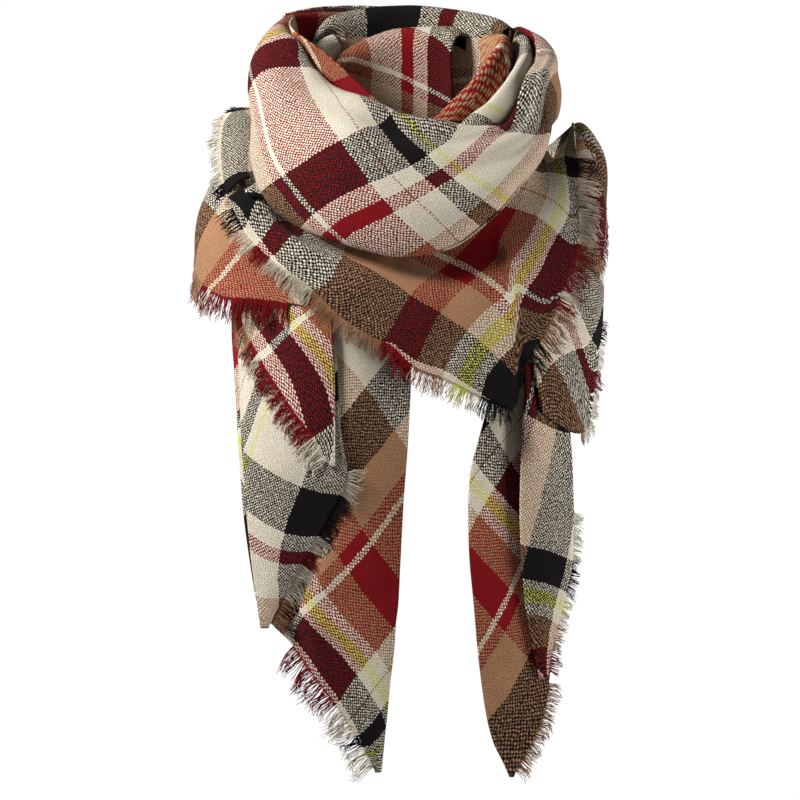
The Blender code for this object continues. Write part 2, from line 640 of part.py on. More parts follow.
fringe("fringe_tail_right_back", edge_of(tail_right_back, "right", (0.80, 0.99)), [], CAMEL, 10, 11, 10)
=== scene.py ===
"""A square plaid blanket scarf, wound round the neck with its folded corner over the chest.

The scarf hangs as worn: a swag at the front of the neck, the corner below it as a bib, and two long ends
that hang from beneath the bib. Each stretch of cloth is a thin shell laid over the ones nearer to the neck,
woven from two sets of striped yarns, and its cut edges are frayed into loose strands. Lengths are in
millimetres until a mesh is made. The front faces -Y, and the origin is the middle of the wearer's neck at its
base.
"""

import logging
import math
from collections.abc import Mapping, Sequence
from dataclasses import dataclass, field
from enum import Enum

import bpy
import mathutils
import numpy as np
from mathutils.bvhtree import BVHTree
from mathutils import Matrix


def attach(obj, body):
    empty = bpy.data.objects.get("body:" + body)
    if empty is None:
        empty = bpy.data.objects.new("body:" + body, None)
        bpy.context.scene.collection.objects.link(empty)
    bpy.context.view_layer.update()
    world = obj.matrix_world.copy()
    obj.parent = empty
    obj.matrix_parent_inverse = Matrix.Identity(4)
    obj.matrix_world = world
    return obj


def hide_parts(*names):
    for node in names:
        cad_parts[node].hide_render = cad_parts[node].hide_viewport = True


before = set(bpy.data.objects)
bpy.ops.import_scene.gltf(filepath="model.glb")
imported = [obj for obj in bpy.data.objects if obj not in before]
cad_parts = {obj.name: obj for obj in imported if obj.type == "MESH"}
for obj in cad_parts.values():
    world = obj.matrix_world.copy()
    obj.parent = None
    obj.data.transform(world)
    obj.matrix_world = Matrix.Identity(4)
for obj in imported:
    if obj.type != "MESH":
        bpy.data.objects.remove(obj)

logging.basicConfig(level=logging.INFO, format="%(message)s")
log = logging.getLogger("scarf")

MM = 0.001
FABRIC_UV = "fabric"
BODY = "root"

WALL = 2.0  # thickness of the cloth
GAP = 0.6  # air left between two stretches that lie on each other
SQUASH = 0.8  # depth of the wearer's neck and shoulders over their width
RAY_START = 45.0  # how far off a clearance ray starts
CLOTH_PUSH = 13.0  # the furthest that one pass moves a stretch
STRAND_PUSH = 9.0  # the furthest that a strand is moved
SETTLED = 0.05  # a push that no longer matters
FINE = 160  # points along a section before they are evened out
SENSOR = 36.0  # width of the camera's sensor
PER_METRE = 1000.0

Rows = Sequence[Sequence[object]]


class Yarn(Enum):
    """The colours of yarn in the cloth, as linear red, green and blue."""

    CREAM = (0.86, 0.77, 0.61)
    CAMEL = (0.45, 0.235, 0.12)
    RED = (0.27, 0.005, 0.010)
    BLACK = (0.006, 0.005, 0.006)
    LIME = (0.76, 0.76, 0.18)


class YarnSet(Enum):
    """Which of the two sets of yarns a surface shows."""

    WOVEN = "woven"
    FIRST = "first"
    SECOND = "second"


class Side(Enum):
    """An edge of a stretch."""

    HEM = "hem"
    LEFT = "left"
    RIGHT = "right"


class Hold(Enum):
    """How a stretch of cloth is held."""

    DRAPED = "draped"
    HUNG = "hung"


@dataclass(frozen=True)
class Sett:
    """The stripes of one set of yarns, in the order in which they cross the cloth from its edge."""

    stripes: tuple[tuple[Yarn, float], ...]

    @property
    def repeat(self) -> float:
        """The width of the whole sequence, after which it starts again."""
        return sum(width for _, width in self.stripes)

    def stops(self) -> list[tuple[float, tuple[float, float, float, float]]]:
        """The stripes as the stops of a colour ramp with no blending.

        Returns:
            A place from 0 to 1 and a colour for each stripe.
        """
        found, start = [], 0.0
        for yarn, width in self.stripes:
            found.append((start / self.repeat, (*yarn.value, 1.0)))
            start += width
        return found


FIRST_SETT = Sett(
    (
        (Yarn.BLACK, 24.0),
        (Yarn.CREAM, 8.0),
        (Yarn.LIME, 10.0),
        (Yarn.CREAM, 9.0),
        (Yarn.CAMEL, 24.0),
        (Yarn.RED, 27.0),
        (Yarn.CAMEL, 56.0),
        (Yarn.CREAM, 30.0),
        (Yarn.RED, 12.5),
        (Yarn.CREAM, 12.5),
        (Yarn.BLACK, 38.0),
        (Yarn.CREAM, 85.0),
    ),
)
SECOND_SETT = Sett(
    (
        (Yarn.BLACK, 40.0),
        (Yarn.CAMEL, 27.0),
        (Yarn.RED, 8.0),
        (Yarn.CREAM, 4.5),
        (Yarn.RED, 45.0),
        (Yarn.CREAM, 15.0),
        (Yarn.CAMEL, 1.6),
        (Yarn.CREAM, 15.0),
        (Yarn.BLACK, 14.5),
        (Yarn.CREAM, 7.0),
        (Yarn.LIME, 4.5),
        (Yarn.CREAM, 54.0),
    ),
)


@dataclass(frozen=True)
class Crease:
    """A soft ridge or trough along a line across a stretch.

    start and end are (round, across) in parts of the whole, rise is above 0 for a ridge, and rise and width
    are in millimetres.
    """

    start: tuple[float, float]
    end: tuple[float, float]
    rise: float
    width: float


@dataclass(frozen=True)
class Lay:
    """How the square of cloth lies on a stretch.

    first and second say how far the cloth's two selvedges lie from the points of an even net over the
    stretch, in millimetres. Each has a row for each line round or down the stretch, from its first edge to
    its second.
    """

    first: Rows
    second: Rows

    @classmethod
    def tilted(cls, length: float, width: float, angle: float, first: float, second: float) -> "Lay":
        """A straight lay.

        Args:
            length: how long the stretch is, round or down, in millimetres.
            width: how wide it is across.
            angle: the degrees from its length to the way in which the first distance rises.
            first: the first distance where the stretch starts.
            second: the second distance there.

        Returns:
            The lay.
        """
        c, s = math.cos(math.radians(angle)), math.sin(math.radians(angle))
        rows = [(first + across * s, first + across * s + length * c) for across in (0, width)]
        others = [(second + across * c, second + across * c - length * s) for across in (0, width)]
        return cls(rows, others)

    def at(self, places: np.ndarray) -> np.ndarray:
        """Reads the cloth's two distances at places on the stretch.

        Args:
            places: (round, across) of each place, in the last axis.

        Returns:
            (first, second) of each place, in the last axis.
        """
        return np.stack([self._read(net, 2 * places - 1) for net in (self.first, self.second)], axis=-1)

    @staticmethod
    def _read(net: Rows, places: np.ndarray) -> np.ndarray:
        """Reads the smooth surface through a net, whose sides run from -1 to 1.

        Args:
            net: the rows of the net.
            places: where to read it, two coordinates each.

        Returns:
            The value at each place.
        """
        weights = np.array(net, float).T
        for _ in range(2):
            weights = np.linalg.solve(np.vander(np.linspace(-1, 1, len(weights)), increasing=True), weights).T
        return np.polynomial.polynomial.polyval2d(places[..., 0], places[..., 1], weights)


def cubic(t: np.ndarray, h: np.ndarray, values: np.ndarray, slope: np.ndarray, k: np.ndarray) -> np.ndarray:
    """Reads a cubic between knots k and k + 1.

    Args:
        t: how far along each span, from 0 to 1.
        h: how long each span is.
        values: the value at each knot.
        slope: the slope at each knot.
        k: the knot before each place.

    Returns:
        The value at each place.
    """
    start = (2 * t**3 - 3 * t**2 + 1) * values[k] + (t**3 - 2 * t**2 + t) * h * slope[k]
    end = (3 * t**2 - 2 * t**3) * values[k + 1] + (t**3 - t**2) * h * slope[k + 1]
    return start + end


def ease(at: np.ndarray, knots: Sequence[float], values: Sequence[object]) -> np.ndarray:
    """Reads a table of values at places between its knots, with no overshoot.

    Args:
        at: the places to read.
        knots: the places of the rows, rising.
        values: a row of numbers for each knot.

    Returns:
        A row of numbers for each place.
    """
    knots = np.asarray(knots, float)
    values = np.asarray(values, float).reshape(len(knots), -1)
    step = np.diff(knots)
    rise = np.diff(values, axis=0) / step[:, None]
    slope = np.zeros_like(values)
    slope[0], slope[-1] = rise[0], rise[-1]
    both = rise[1:] * rise[:-1]
    total = rise[1:] + rise[:-1]
    slope[1:-1] = np.where(both > 0, 2 * both / np.where(both > 0, total, 1), 0)
    at = np.clip(np.asarray(at, float), knots[0], knots[-1])
    k = np.clip(np.searchsorted(knots, at, side="right") - 1, 0, len(knots) - 2)
    t = ((at - knots[k]) / step[k])[:, None]
    return cubic(t, step[k][:, None], values, slope, k)


def lengths_along(line: np.ndarray) -> np.ndarray:
    """How far along a line each of its points lies."""
    return np.concatenate([[0], np.cumsum(np.linalg.norm(np.diff(line, axis=0), axis=1))])


def curve_through(points: np.ndarray, count: int) -> np.ndarray:
    """Even points along a smooth curve through a section's few points.

    Args:
        points: the section's points.
        count: how many points to return.

    Returns:
        The even points.
    """
    run = lengths_along(points)
    slope = np.gradient(points, run, axis=0)
    at = np.linspace(0, run[-1], FINE)
    k = np.clip(np.searchsorted(run, at, side="right") - 1, 0, len(run) - 2)
    h = np.diff(run)[k][:, None]
    dense = cubic((at - run[k])[:, None] / h, h, points, slope, k)
    walked = lengths_along(dense)
    even = np.linspace(0, walked[-1], count)
    return np.stack([np.interp(even, walked, dense[:, i]) for i in range(points.shape[1])], axis=1)


def outward_of(grid: np.ndarray) -> np.ndarray:
    """The level direction away from the neck at each point."""
    out = grid * (1.0, 1.0 / SQUASH, 0.0)
    return out / np.maximum(np.linalg.norm(out, axis=-1, keepdims=True), 1e-9)


def normals_of(grid: np.ndarray) -> np.ndarray:
    """The unit normals of a grid of points, on the side away from the neck.

    Args:
        grid: rows of points on a surface.

    Returns:
        One normal for each point.
    """
    normal = np.cross(np.gradient(grid, axis=0), np.gradient(grid, axis=1))
    normal /= np.maximum(np.linalg.norm(normal, axis=2, keepdims=True), 1e-9)
    return normal * np.sign((normal * outward_of(grid)).sum(axis=2).mean())


def quads_of(grid: np.ndarray) -> np.ndarray:
    """The faces of a grid, as four places in its list of points.

    Args:
        grid: rows of points on a surface.

    Returns:
        Four places for each face.
    """
    rows, cols = grid.shape[:2]
    index = np.arange(rows * cols).reshape(rows, cols)
    corners = [index[:-1, :-1], index[1:, :-1], index[1:, 1:], index[:-1, 1:]]
    return np.stack(corners, axis=-1).reshape(-1, 4)


def tree_of(grid: np.ndarray) -> tuple[BVHTree, np.ndarray]:
    """A tree for rays of a grid's triangles, and the triangles.

    Args:
        grid: rows of points on a surface.

    Returns:
        The tree, and three places for each triangle.
    """
    quads = quads_of(grid)
    triangles = np.concatenate([quads[:, [0, 1, 2]], quads[:, [0, 2, 3]]])
    points = [mathutils.Vector(p) for p in grid.reshape(-1, 3)]
    return BVHTree.FromPolygons(points, triangles.tolist()), triangles


def shortfall(
    tree: BVHTree, point: np.ndarray, way: np.ndarray, need: float, most: float, inward: bool
) -> tuple[float, int | None]:
    """How far a point must move along its way to clear a surface, or how far the surface must.

    Args:
        tree: the surface.
        point: where the point is.
        way: the level direction away from the neck.
        need: the distance to keep.
        most: the furthest that anything is moved.
        inward: True if the point lies on the surface, and False if the surface lies on the point.

    Returns:
        The distance, and the surface's nearest triangle.
    """
    here = mathutils.Vector(point)
    way = mathutils.Vector(way)
    start = here + way * RAY_START if inward else here - way * RAY_START
    hit, normal, face, away = tree.ray_cast(start, -way if inward else way, RAY_START + 3 * need)
    short = 0.0
    if hit is not None:
        lean = max(abs(normal.dot(way)), 0.4)
        short = RAY_START - away + need / lean
    if not 0 < short < most:
        hit, normal, face, away = tree.find_nearest(here, need)
        short = need - away if hit is not None else 0.0
    return short, face


def laid_over(grid: np.ndarray, below: Sequence[np.ndarray], need: float = WALL + GAP) -> np.ndarray:
    """Moves a stretch away from the neck wherever it would come too near those that it lies on.

    Args:
        grid: the stretch's points.
        below: the points of each stretch that it lies on.
        need: the distance to keep between the middles of the walls.

    Returns:
        The moved points.
    """
    grid = grid.copy()
    trees = [(tree_of(other)[0], other.reshape(-1, 3), outward_of(other).reshape(-1, 3)) for other in below]
    for _ in range(7):
        push = np.zeros(grid.shape[0] * grid.shape[1])
        own, faces = tree_of(grid)
        ways = outward_of(grid).reshape(-1, 3)
        for tree, points, outs in trees:
            for i, (point, way) in enumerate(zip(grid.reshape(-1, 3), ways)):
                push[i] = max(push[i], shortfall(tree, point, way, need, CLOTH_PUSH, True)[0])
            for point, way in zip(points, outs):
                short, face = shortfall(own, point, way, need, CLOTH_PUSH, False)
                if short > 0:
                    push[faces[face]] = np.maximum(push[faces[face]], short)
        if push.max() < SETTLED:
            break
        grid += outward_of(grid) * push.reshape(grid.shape[:2])[..., None]
    return grid


def link_new(name: str, data: bpy.types.ID) -> bpy.types.Object:
    """Makes an object of some data and puts it in the scene.

    Args:
        name: what the object is called.
        data: what it holds, such as a mesh.

    Returns:
        The object.
    """
    made = bpy.data.objects.new(name, data)
    bpy.context.scene.collection.objects.link(made)
    return made


class Signal:
    """An output of a node, on which arithmetic adds Math nodes."""

    def __init__(self, graph: "Graph", socket: bpy.types.NodeSocket) -> None:
        """Wraps a socket of a graph."""
        self.graph = graph
        self.socket = socket

    def _math(self, operation: str, *values: object) -> "Signal":
        """Adds a Math node of these values."""
        made = self.graph.add("ShaderNodeMath", {"operation": operation}, dict(enumerate(values)))
        return Signal(self.graph, made.outputs[0])

    def __add__(self, other: object) -> "Signal":
        """self + other."""
        return self._math("ADD", self, other)

    def __radd__(self, other: object) -> "Signal":
        """other + self."""
        return self._math("ADD", other, self)

    def __sub__(self, other: object) -> "Signal":
        """self - other."""
        return self._math("SUBTRACT", self, other)

    def __rsub__(self, other: object) -> "Signal":
        """other - self."""
        return self._math("SUBTRACT", other, self)

    def __mul__(self, other: object) -> "Signal":
        """self * other."""
        return self._math("MULTIPLY", self, other)

    def __rmul__(self, other: object) -> "Signal":
        """other * self."""
        return self._math("MULTIPLY", other, self)

    def __truediv__(self, other: object) -> "Signal":
        """self / other."""
        return self._math("DIVIDE", self, other)

    def __mod__(self, other: object) -> "Signal":
        """self % other, never below 0."""
        return self._math("FLOORED_MODULO", self, other)

    def floor(self) -> "Signal":
        """The whole number below."""
        return self._math("FLOOR", self)

    def sine(self) -> "Signal":
        """The sine of an angle in radians."""
        return self._math("SINE", self)

    def size(self) -> "Signal":
        """The value with no sign."""
        return self._math("ABSOLUTE", self)

    def held(self) -> "Signal":
        """The value held between 0 and 1."""
        return self._math("MINIMUM", self._math("MAXIMUM", self, 0.0), 1.0)


class Graph:
    """A node tree that is being built."""

    def __init__(self, tree: bpy.types.NodeTree) -> None:
        """Takes an empty tree."""
        self.tree = tree

    def add(
        self, kind: str, settings: Mapping[str, object], values: Mapping[object, object]
    ) -> bpy.types.Node:
        """Adds a node.

        Args:
            kind: the node's type.
            settings: its properties, set first. stops is a colour ramp's list of (place, colour).
            values: a number, colour, socket or Signal for each input socket, by name or place.

        Returns:
            The node.
        """
        node = self.tree.nodes.new(kind)
        for name, setting in settings.items():
            if name == "stops":
                self._set_stops(node.color_ramp, setting)
            else:
                setattr(node, name, setting)
        for name, value in values.items():
            self.feed(node.inputs[name], value)
        return node

    def feed(self, socket: bpy.types.NodeSocket, value: object) -> None:
        """Links or sets one input socket.

        Args:
            socket: the input.
            value: an output to link to it, or a value to set.
        """
        if isinstance(value, Signal):
            self.tree.links.new(value.socket, socket)
        elif isinstance(value, bpy.types.NodeSocket):
            self.tree.links.new(value, socket)
        else:
            socket.default_value = value

    def signal(
        self, kind: str, settings: Mapping[str, object], values: Mapping[object, object], out: object = 0
    ) -> Signal:
        """Adds a node and wraps one of its outputs."""
        return Signal(self, self.add(kind, settings, values).outputs[out])

    def blend(self, factor: object, first: object, second: object, kind: str = "MIX") -> Signal:
        """Mixes two colours."""
        settings = {"data_type": "RGBA", "blend_type": kind}
        return self.signal("ShaderNodeMix", settings, {0: factor, 6: first, 7: second}, 2)

    @staticmethod
    def _set_stops(ramp: bpy.types.ColorRamp, stops: Sequence[tuple]) -> None:
        """Gives a colour ramp these stops, with no blending between them.

        Args:
            ramp: the colour ramp.
            stops: the place and colour of each stop, in order.
        """
        ramp.interpolation = "CONSTANT"
        while len(ramp.elements) > 1:
            ramp.elements.remove(ramp.elements[-1])
        ramp.elements[0].position, ramp.elements[0].color = stops[0]
        for place, colour in stops[1:]:
            ramp.elements.new(place).color = colour


@dataclass(frozen=True)
class BrushedPlaid:
    """The finish of the cloth: two sets of striped yarns in a plain weave, with a brushed surface."""

    name: str
    shown: YarnSet
    yarn: float = 1.4  # from one yarn to the next, in millimetres
    wander: float = 0.9  # how far the yarns stray from a straight line
    kink: float = 0.55  # how far they stray over a few crossings
    contrast: float = 1.6  # how sharply one set hides the other where it crosses over
    mottle: float = 4.0  # how unevenly the two sets cover each other
    bloom: float = 0.68  # how far a black yarn spreads over any other
    relief: float = 0.6  # how far a yarn stands out
    painted_gap_shade: float = 0.85  # painted shade: how much darker the cloth is painted between its yarns
    nap: float = 0.03  # how much of the surface the loose fibres veil
    stray_scale: float = 60.0  # how fine each noise is, here and in the four below
    kink_scale: float = 330.0
    mottle_scale: float = 560.0
    fibre_scale: float = 1900.0
    blotch_scale: float = 25.0
    painted_yarn_highlight: float = 1.18  # painted highlight: how bright the top of a yarn is painted
    blotch: float = 0.2  # how much darker the cloth is in broad soft patches
    dark: float = 20.0  # how sharply black is told from the other yarns
    veil: tuple[float, float, float, float] = (0.55, 0.47, 0.40, 1.0)  # the colour of the loose fibres

    def material(self) -> bpy.types.Material:
        """Builds the material, which reads the cloth's own coordinates.

        Returns:
            The material.
        """
        made = bpy.data.materials.new(self.name)
        made.use_nodes = True
        made.node_tree.nodes.clear()
        graph = Graph(made.node_tree)
        place = graph.add("ShaderNodeUVMap", {"uv_map": FABRIC_UV}, {}).outputs[0]
        split = graph.add("ShaderNodeSeparateXYZ", {}, {0: place})
        stray = self._noise(graph, place, self.stray_scale, 2.0)
        drift = (stray - 0.5) * (2 * self.wander)
        spots = {"Vector": place, "Scale": self.kink_scale, "Detail": 1.0}
        kinks = graph.add("ShaderNodeTexNoise", {}, spots)
        kinks = graph.add("ShaderNodeSeparateXYZ", {}, {0: kinks.outputs["Color"]})
        kinks = [(Signal(graph, kinks.outputs[i]) - 0.5) * (4 * self.kink) for i in range(2)]
        first = Signal(graph, split.outputs[0]) * PER_METRE + drift + kinks[0]
        second = Signal(graph, split.outputs[1]) * PER_METRE - drift + kinks[1]
        colours = [self._stripes(graph, first, FIRST_SETT), self._stripes(graph, second, SECOND_SETT)]
        fibre = self._noise(graph, place, self.fibre_scale, 3.0)
        if self.shown is YarnSet.WOVEN:
            colour, height = self._woven(graph, place, first, second, colours)
        else:
            colour = colours[0 if self.shown is YarnSet.FIRST else 1]
            height = fibre
        veil = ((fibre - 0.4) * (2.5 * self.nap)).held()
        veiled = graph.blend(veil, colour, self.veil)
        blotch = self._noise(graph, place, self.blotch_scale, 2.0)
        # Painted shade and highlight: the tops of the yarns are painted lighter and the gaps between them
        # darker. The broad soft patches are a random tone.
        shade = self.painted_yarn_highlight - self.painted_gap_shade * (1.0 - height) - self.blotch * (1.0 - blotch)
        tone = graph.signal("ShaderNodeCombineColor", {}, {0: shade, 1: shade, 2: shade})
        colour = graph.blend(1.0, veiled, tone, "MULTIPLY")
        bump_height = height * 0.8 + fibre * 0.45
        bump = graph.add(
            "ShaderNodeBump", {}, {"Strength": 0.8, "Distance": self.relief * MM, "Height": bump_height}
        )
        roughness = 0.86 + 0.12 * fibre
        shader = graph.add(
            "ShaderNodeBsdfPrincipled",
            {},
            {
                "Base Color": colour,
                "Roughness": roughness,
                "Normal": bump.outputs[0],
                "Specular IOR Level": 0.05,
                "Sheen Weight": 0.03,
                "Sheen Roughness": 0.5,
                "Sheen Tint": (0.95, 0.9, 0.85, 1.0),
            },
        )
        graph.add("ShaderNodeOutputMaterial", {}, {0: shader.outputs[0]})
        return made

    def _woven(
        self, graph: Graph, place: object, first: Signal, second: Signal, colours: Sequence[Signal]
    ) -> tuple[Signal, Signal]:
        """Crosses the two sets of yarns.

        Args:
            graph: the material's nodes.
            place: the cloth's coordinates.
            first: how far the first selvedge is, in millimetres.
            second: how far the second selvedge is, in millimetres.
            colours: the stripes of the two sets.

        Returns:
            The colour, and the height of the yarns from 0 to 1.
        """
        one = first / self.yarn
        two = second / self.yarn
        over = (one.floor() + two.floor()) % 2.0
        uneven = self._noise(graph, place, self.mottle_scale, 2.0)
        cover = 0.5 + (over - 0.5) * self.contrast + (uneven - 0.5) * self.mottle
        pale = [graph.signal("ShaderNodeRGBToBW", {}, {0: colour}) for colour in colours]
        black = [(1.0 - tone * self.dark).held() for tone in pale]
        spread = (black[1] - black[0]) * (self.bloom - (pale[0] + pale[1]) * 0.3)
        cover = (cover + spread + (pale[0] - pale[1]) * 0.12).held()
        ridge_one = (one * math.pi).sine().size()
        ridge_two = (two * math.pi).sine().size()
        height = ridge_one * (1.0 - cover) + ridge_two * cover
        return graph.blend(cover, colours[0], colours[1]), height

    def _stripes(self, graph: Graph, across: Signal, sett: Sett) -> Signal:
        """The colour of the yarn at a distance from the selvedge."""
        place = (((across / self.yarn).floor() + 0.5) * self.yarn / sett.repeat) % 1.0
        return graph.signal("ShaderNodeValToRGB", {"stops": sett.stops()}, {0: place})

    @staticmethod
    def _noise(graph: Graph, place: object, scale: float, detail: float) -> Signal:
        """An even noise from 0 to 1 over the cloth."""
        return graph.signal("ShaderNodeTexNoise", {}, {"Vector": place, "Scale": scale, "Detail": detail})


@dataclass
class Stretch:
    """One stretch of the cloth that shows."""

    node: str
    rows: Rows
    below: tuple[str, ...] = ()
    creases: tuple[Crease, ...] = ()
    held: Hold = Hold.DRAPED
    last_part: float = 1.0  # how much of the last stretch below it lies on
    ripple: float = 1.1  # how far the soft unevenness of the cloth stands out
    need: float = WALL + GAP

    def points(self, pitch: float) -> tuple[np.ndarray, np.ndarray]:
        """The points of the stretch and their places on it, in parts of the whole."""
        raise NotImplementedError

    def creased(self, grid: np.ndarray, places: np.ndarray) -> np.ndarray:
        """Raises and presses the creases into the stretch, and a soft unevenness.

        Args:
            grid: the points.
            places: their (round, across), in parts of the whole.

        Returns:
            The moved points.
        """
        size = np.array([self._mean_length(grid), self._mean_length(grid.transpose(1, 0, 2))])
        rise = np.zeros(grid.shape[:2])
        for crease in self.creases:
            line = np.subtract(crease.end, crease.start) * size
            here = (places - crease.start) * size
            along = np.clip((here @ line) / (line @ line), 0, 1)
            off = np.linalg.norm(here - along[..., None] * line, axis=2)
            fade = np.sin(math.pi * np.clip(0.1 + along * 0.8, 0, 1))
            rise += crease.rise * fade * np.exp(-((off / crease.width) ** 2))
        seed = sum(map(ord, self.node))
        for scale, part in ((45.0, 1.0), (17.0, 0.35)):
            spots = [
                mathutils.noise.noise(mathutils.Vector(p) / scale + mathutils.Vector((seed, 0, 0)))
                for p in grid.reshape(-1, 3)
            ]
            rise += self.ripple * part * np.array(spots).reshape(rise.shape)
        return grid + normals_of(grid) * rise[..., None]

    def flat_size(self, grid: np.ndarray) -> tuple[float, float]:
        """The length and width of the cloth that the stretch takes, in metres.

        Args:
            grid: rows of points on the stretch.

        Returns:
            The length and the width.
        """
        return (
            round(self._mean_length(grid) * MM, 3),
            round(self._mean_length(grid.transpose(1, 0, 2)) * MM, 3),
        )

    @staticmethod
    def _mean_length(grid: np.ndarray) -> float:
        """The mean length of a grid along its first axis."""
        return float(np.linalg.norm(np.diff(grid, axis=0), axis=2).sum(axis=0).mean())


@dataclass
class Winding(Stretch):
    """A stretch that goes round the neck.

    A row is one section: the turn in degrees round the neck (0 at the front, minus to the left as seen from
    the front, 180 at the nape), then (reach, height) pairs from the neck outwards.
    """

    corner: float | None = None  # a turn at which the edge has a sharp corner

    def points(self, pitch: float) -> tuple[np.ndarray, np.ndarray]:
        """The points of the stretch and their places on it, in parts of the whole.

        Args:
            pitch: about how far apart the points are.

        Returns:
            The points, by turn and then from the neck outwards, and their places.
        """
        rows = self.rows if self.rows[0][0] < self.rows[-1][0] else self.rows[::-1]
        knots = [row[0] for row in rows]
        sections = [np.array(row[1:], float) for row in rows]
        span = max(lengths_along(s)[-1] for s in sections)
        reach = np.mean([s[:, 0].mean() for s in sections])
        stops = [knots[0], knots[-1]] if self.corner is None else [knots[0], self.corner, knots[-1]]
        turns = [np.array(stops[:1], float)]
        for start, end in zip(stops, stops[1:]):
            count = max(8, round(math.radians(end - start) * reach / pitch))
            turns.append(np.linspace(start, end, count + 1)[1:])
        turns = np.concatenate(turns)
        across = max(8, round(span / pitch)) + 1
        values = ease(turns, knots, [s.ravel() for s in sections])
        grid = []
        for turn, value in zip(np.radians(turns), values):
            section = curve_through(value.reshape(-1, 2), across)
            out, height = section[:, 0], section[:, 1]
            grid.append(np.stack([out * math.sin(turn), -SQUASH * out * math.cos(turn), height], axis=1))
        part = (turns - turns[0]) / (turns[-1] - turns[0])
        places = np.stack(np.meshgrid(part, np.linspace(0, 1, across), indexing="ij"), axis=2)
        return np.array(grid), places


@dataclass
class Panel(Stretch):
    """A stretch that hangs free.

    A row is one height: where the left and right edges are, how far the panel stands forward of the line
    between the two and how much its middle bows forward.
    """

    def points(self, pitch: float) -> tuple[np.ndarray, np.ndarray]:
        """The points of the stretch and their places on it, in parts of the whole.

        Args:
            pitch: about how far apart the points are.

        Returns:
            The points, from the bottom up and then from left to right, and their places.
        """
        rows = self.rows[::-1]
        knots = [row[0] for row in rows]
        wide = max(row[2] - row[1] for row in rows)
        heights = np.linspace(knots[-1], knots[0], max(8, round((knots[-1] - knots[0]) / pitch)) + 1)
        part = np.linspace(0, 1, max(6, round(wide / pitch)) + 1)
        grid = []
        shapes = ease(heights, knots, [row[1:] for row in rows])
        for height, (left, right, reach, bow) in zip(heights, shapes):
            x = left + (right - left) * part
            round_back = np.sqrt(np.maximum(reach**2 - x**2, 15.0**2))
            free = np.clip((-height - 110) / 190, 0, 1) * 0.75
            forward = round_back * (1 - free) + reach * 0.80 * free
            y = -SQUASH * forward - bow * np.sin(math.pi * part)
            grid.append(np.stack([x, y, np.full(part.shape, height)], axis=1))
        down = np.linspace(0, 1, len(heights))
        places = np.stack(np.meshgrid(down, part, indexing="ij"), axis=2)
        return np.array(grid), places


@dataclass(frozen=True)
class Fringe:
    """Loose yarn ends along one cut edge of a stretch."""

    node: str
    stretch: str
    side: Side
    part: tuple[float, float]
    yarns: YarnSet
    length: float
    seed: int
    pitch: float = 0.55  # from one strand to the next
    spread: float = 0.40
    sag: float = 0.25
    wave: float = 0.16
    thick: float = 0.42
    over: tuple[str, ...] = ()


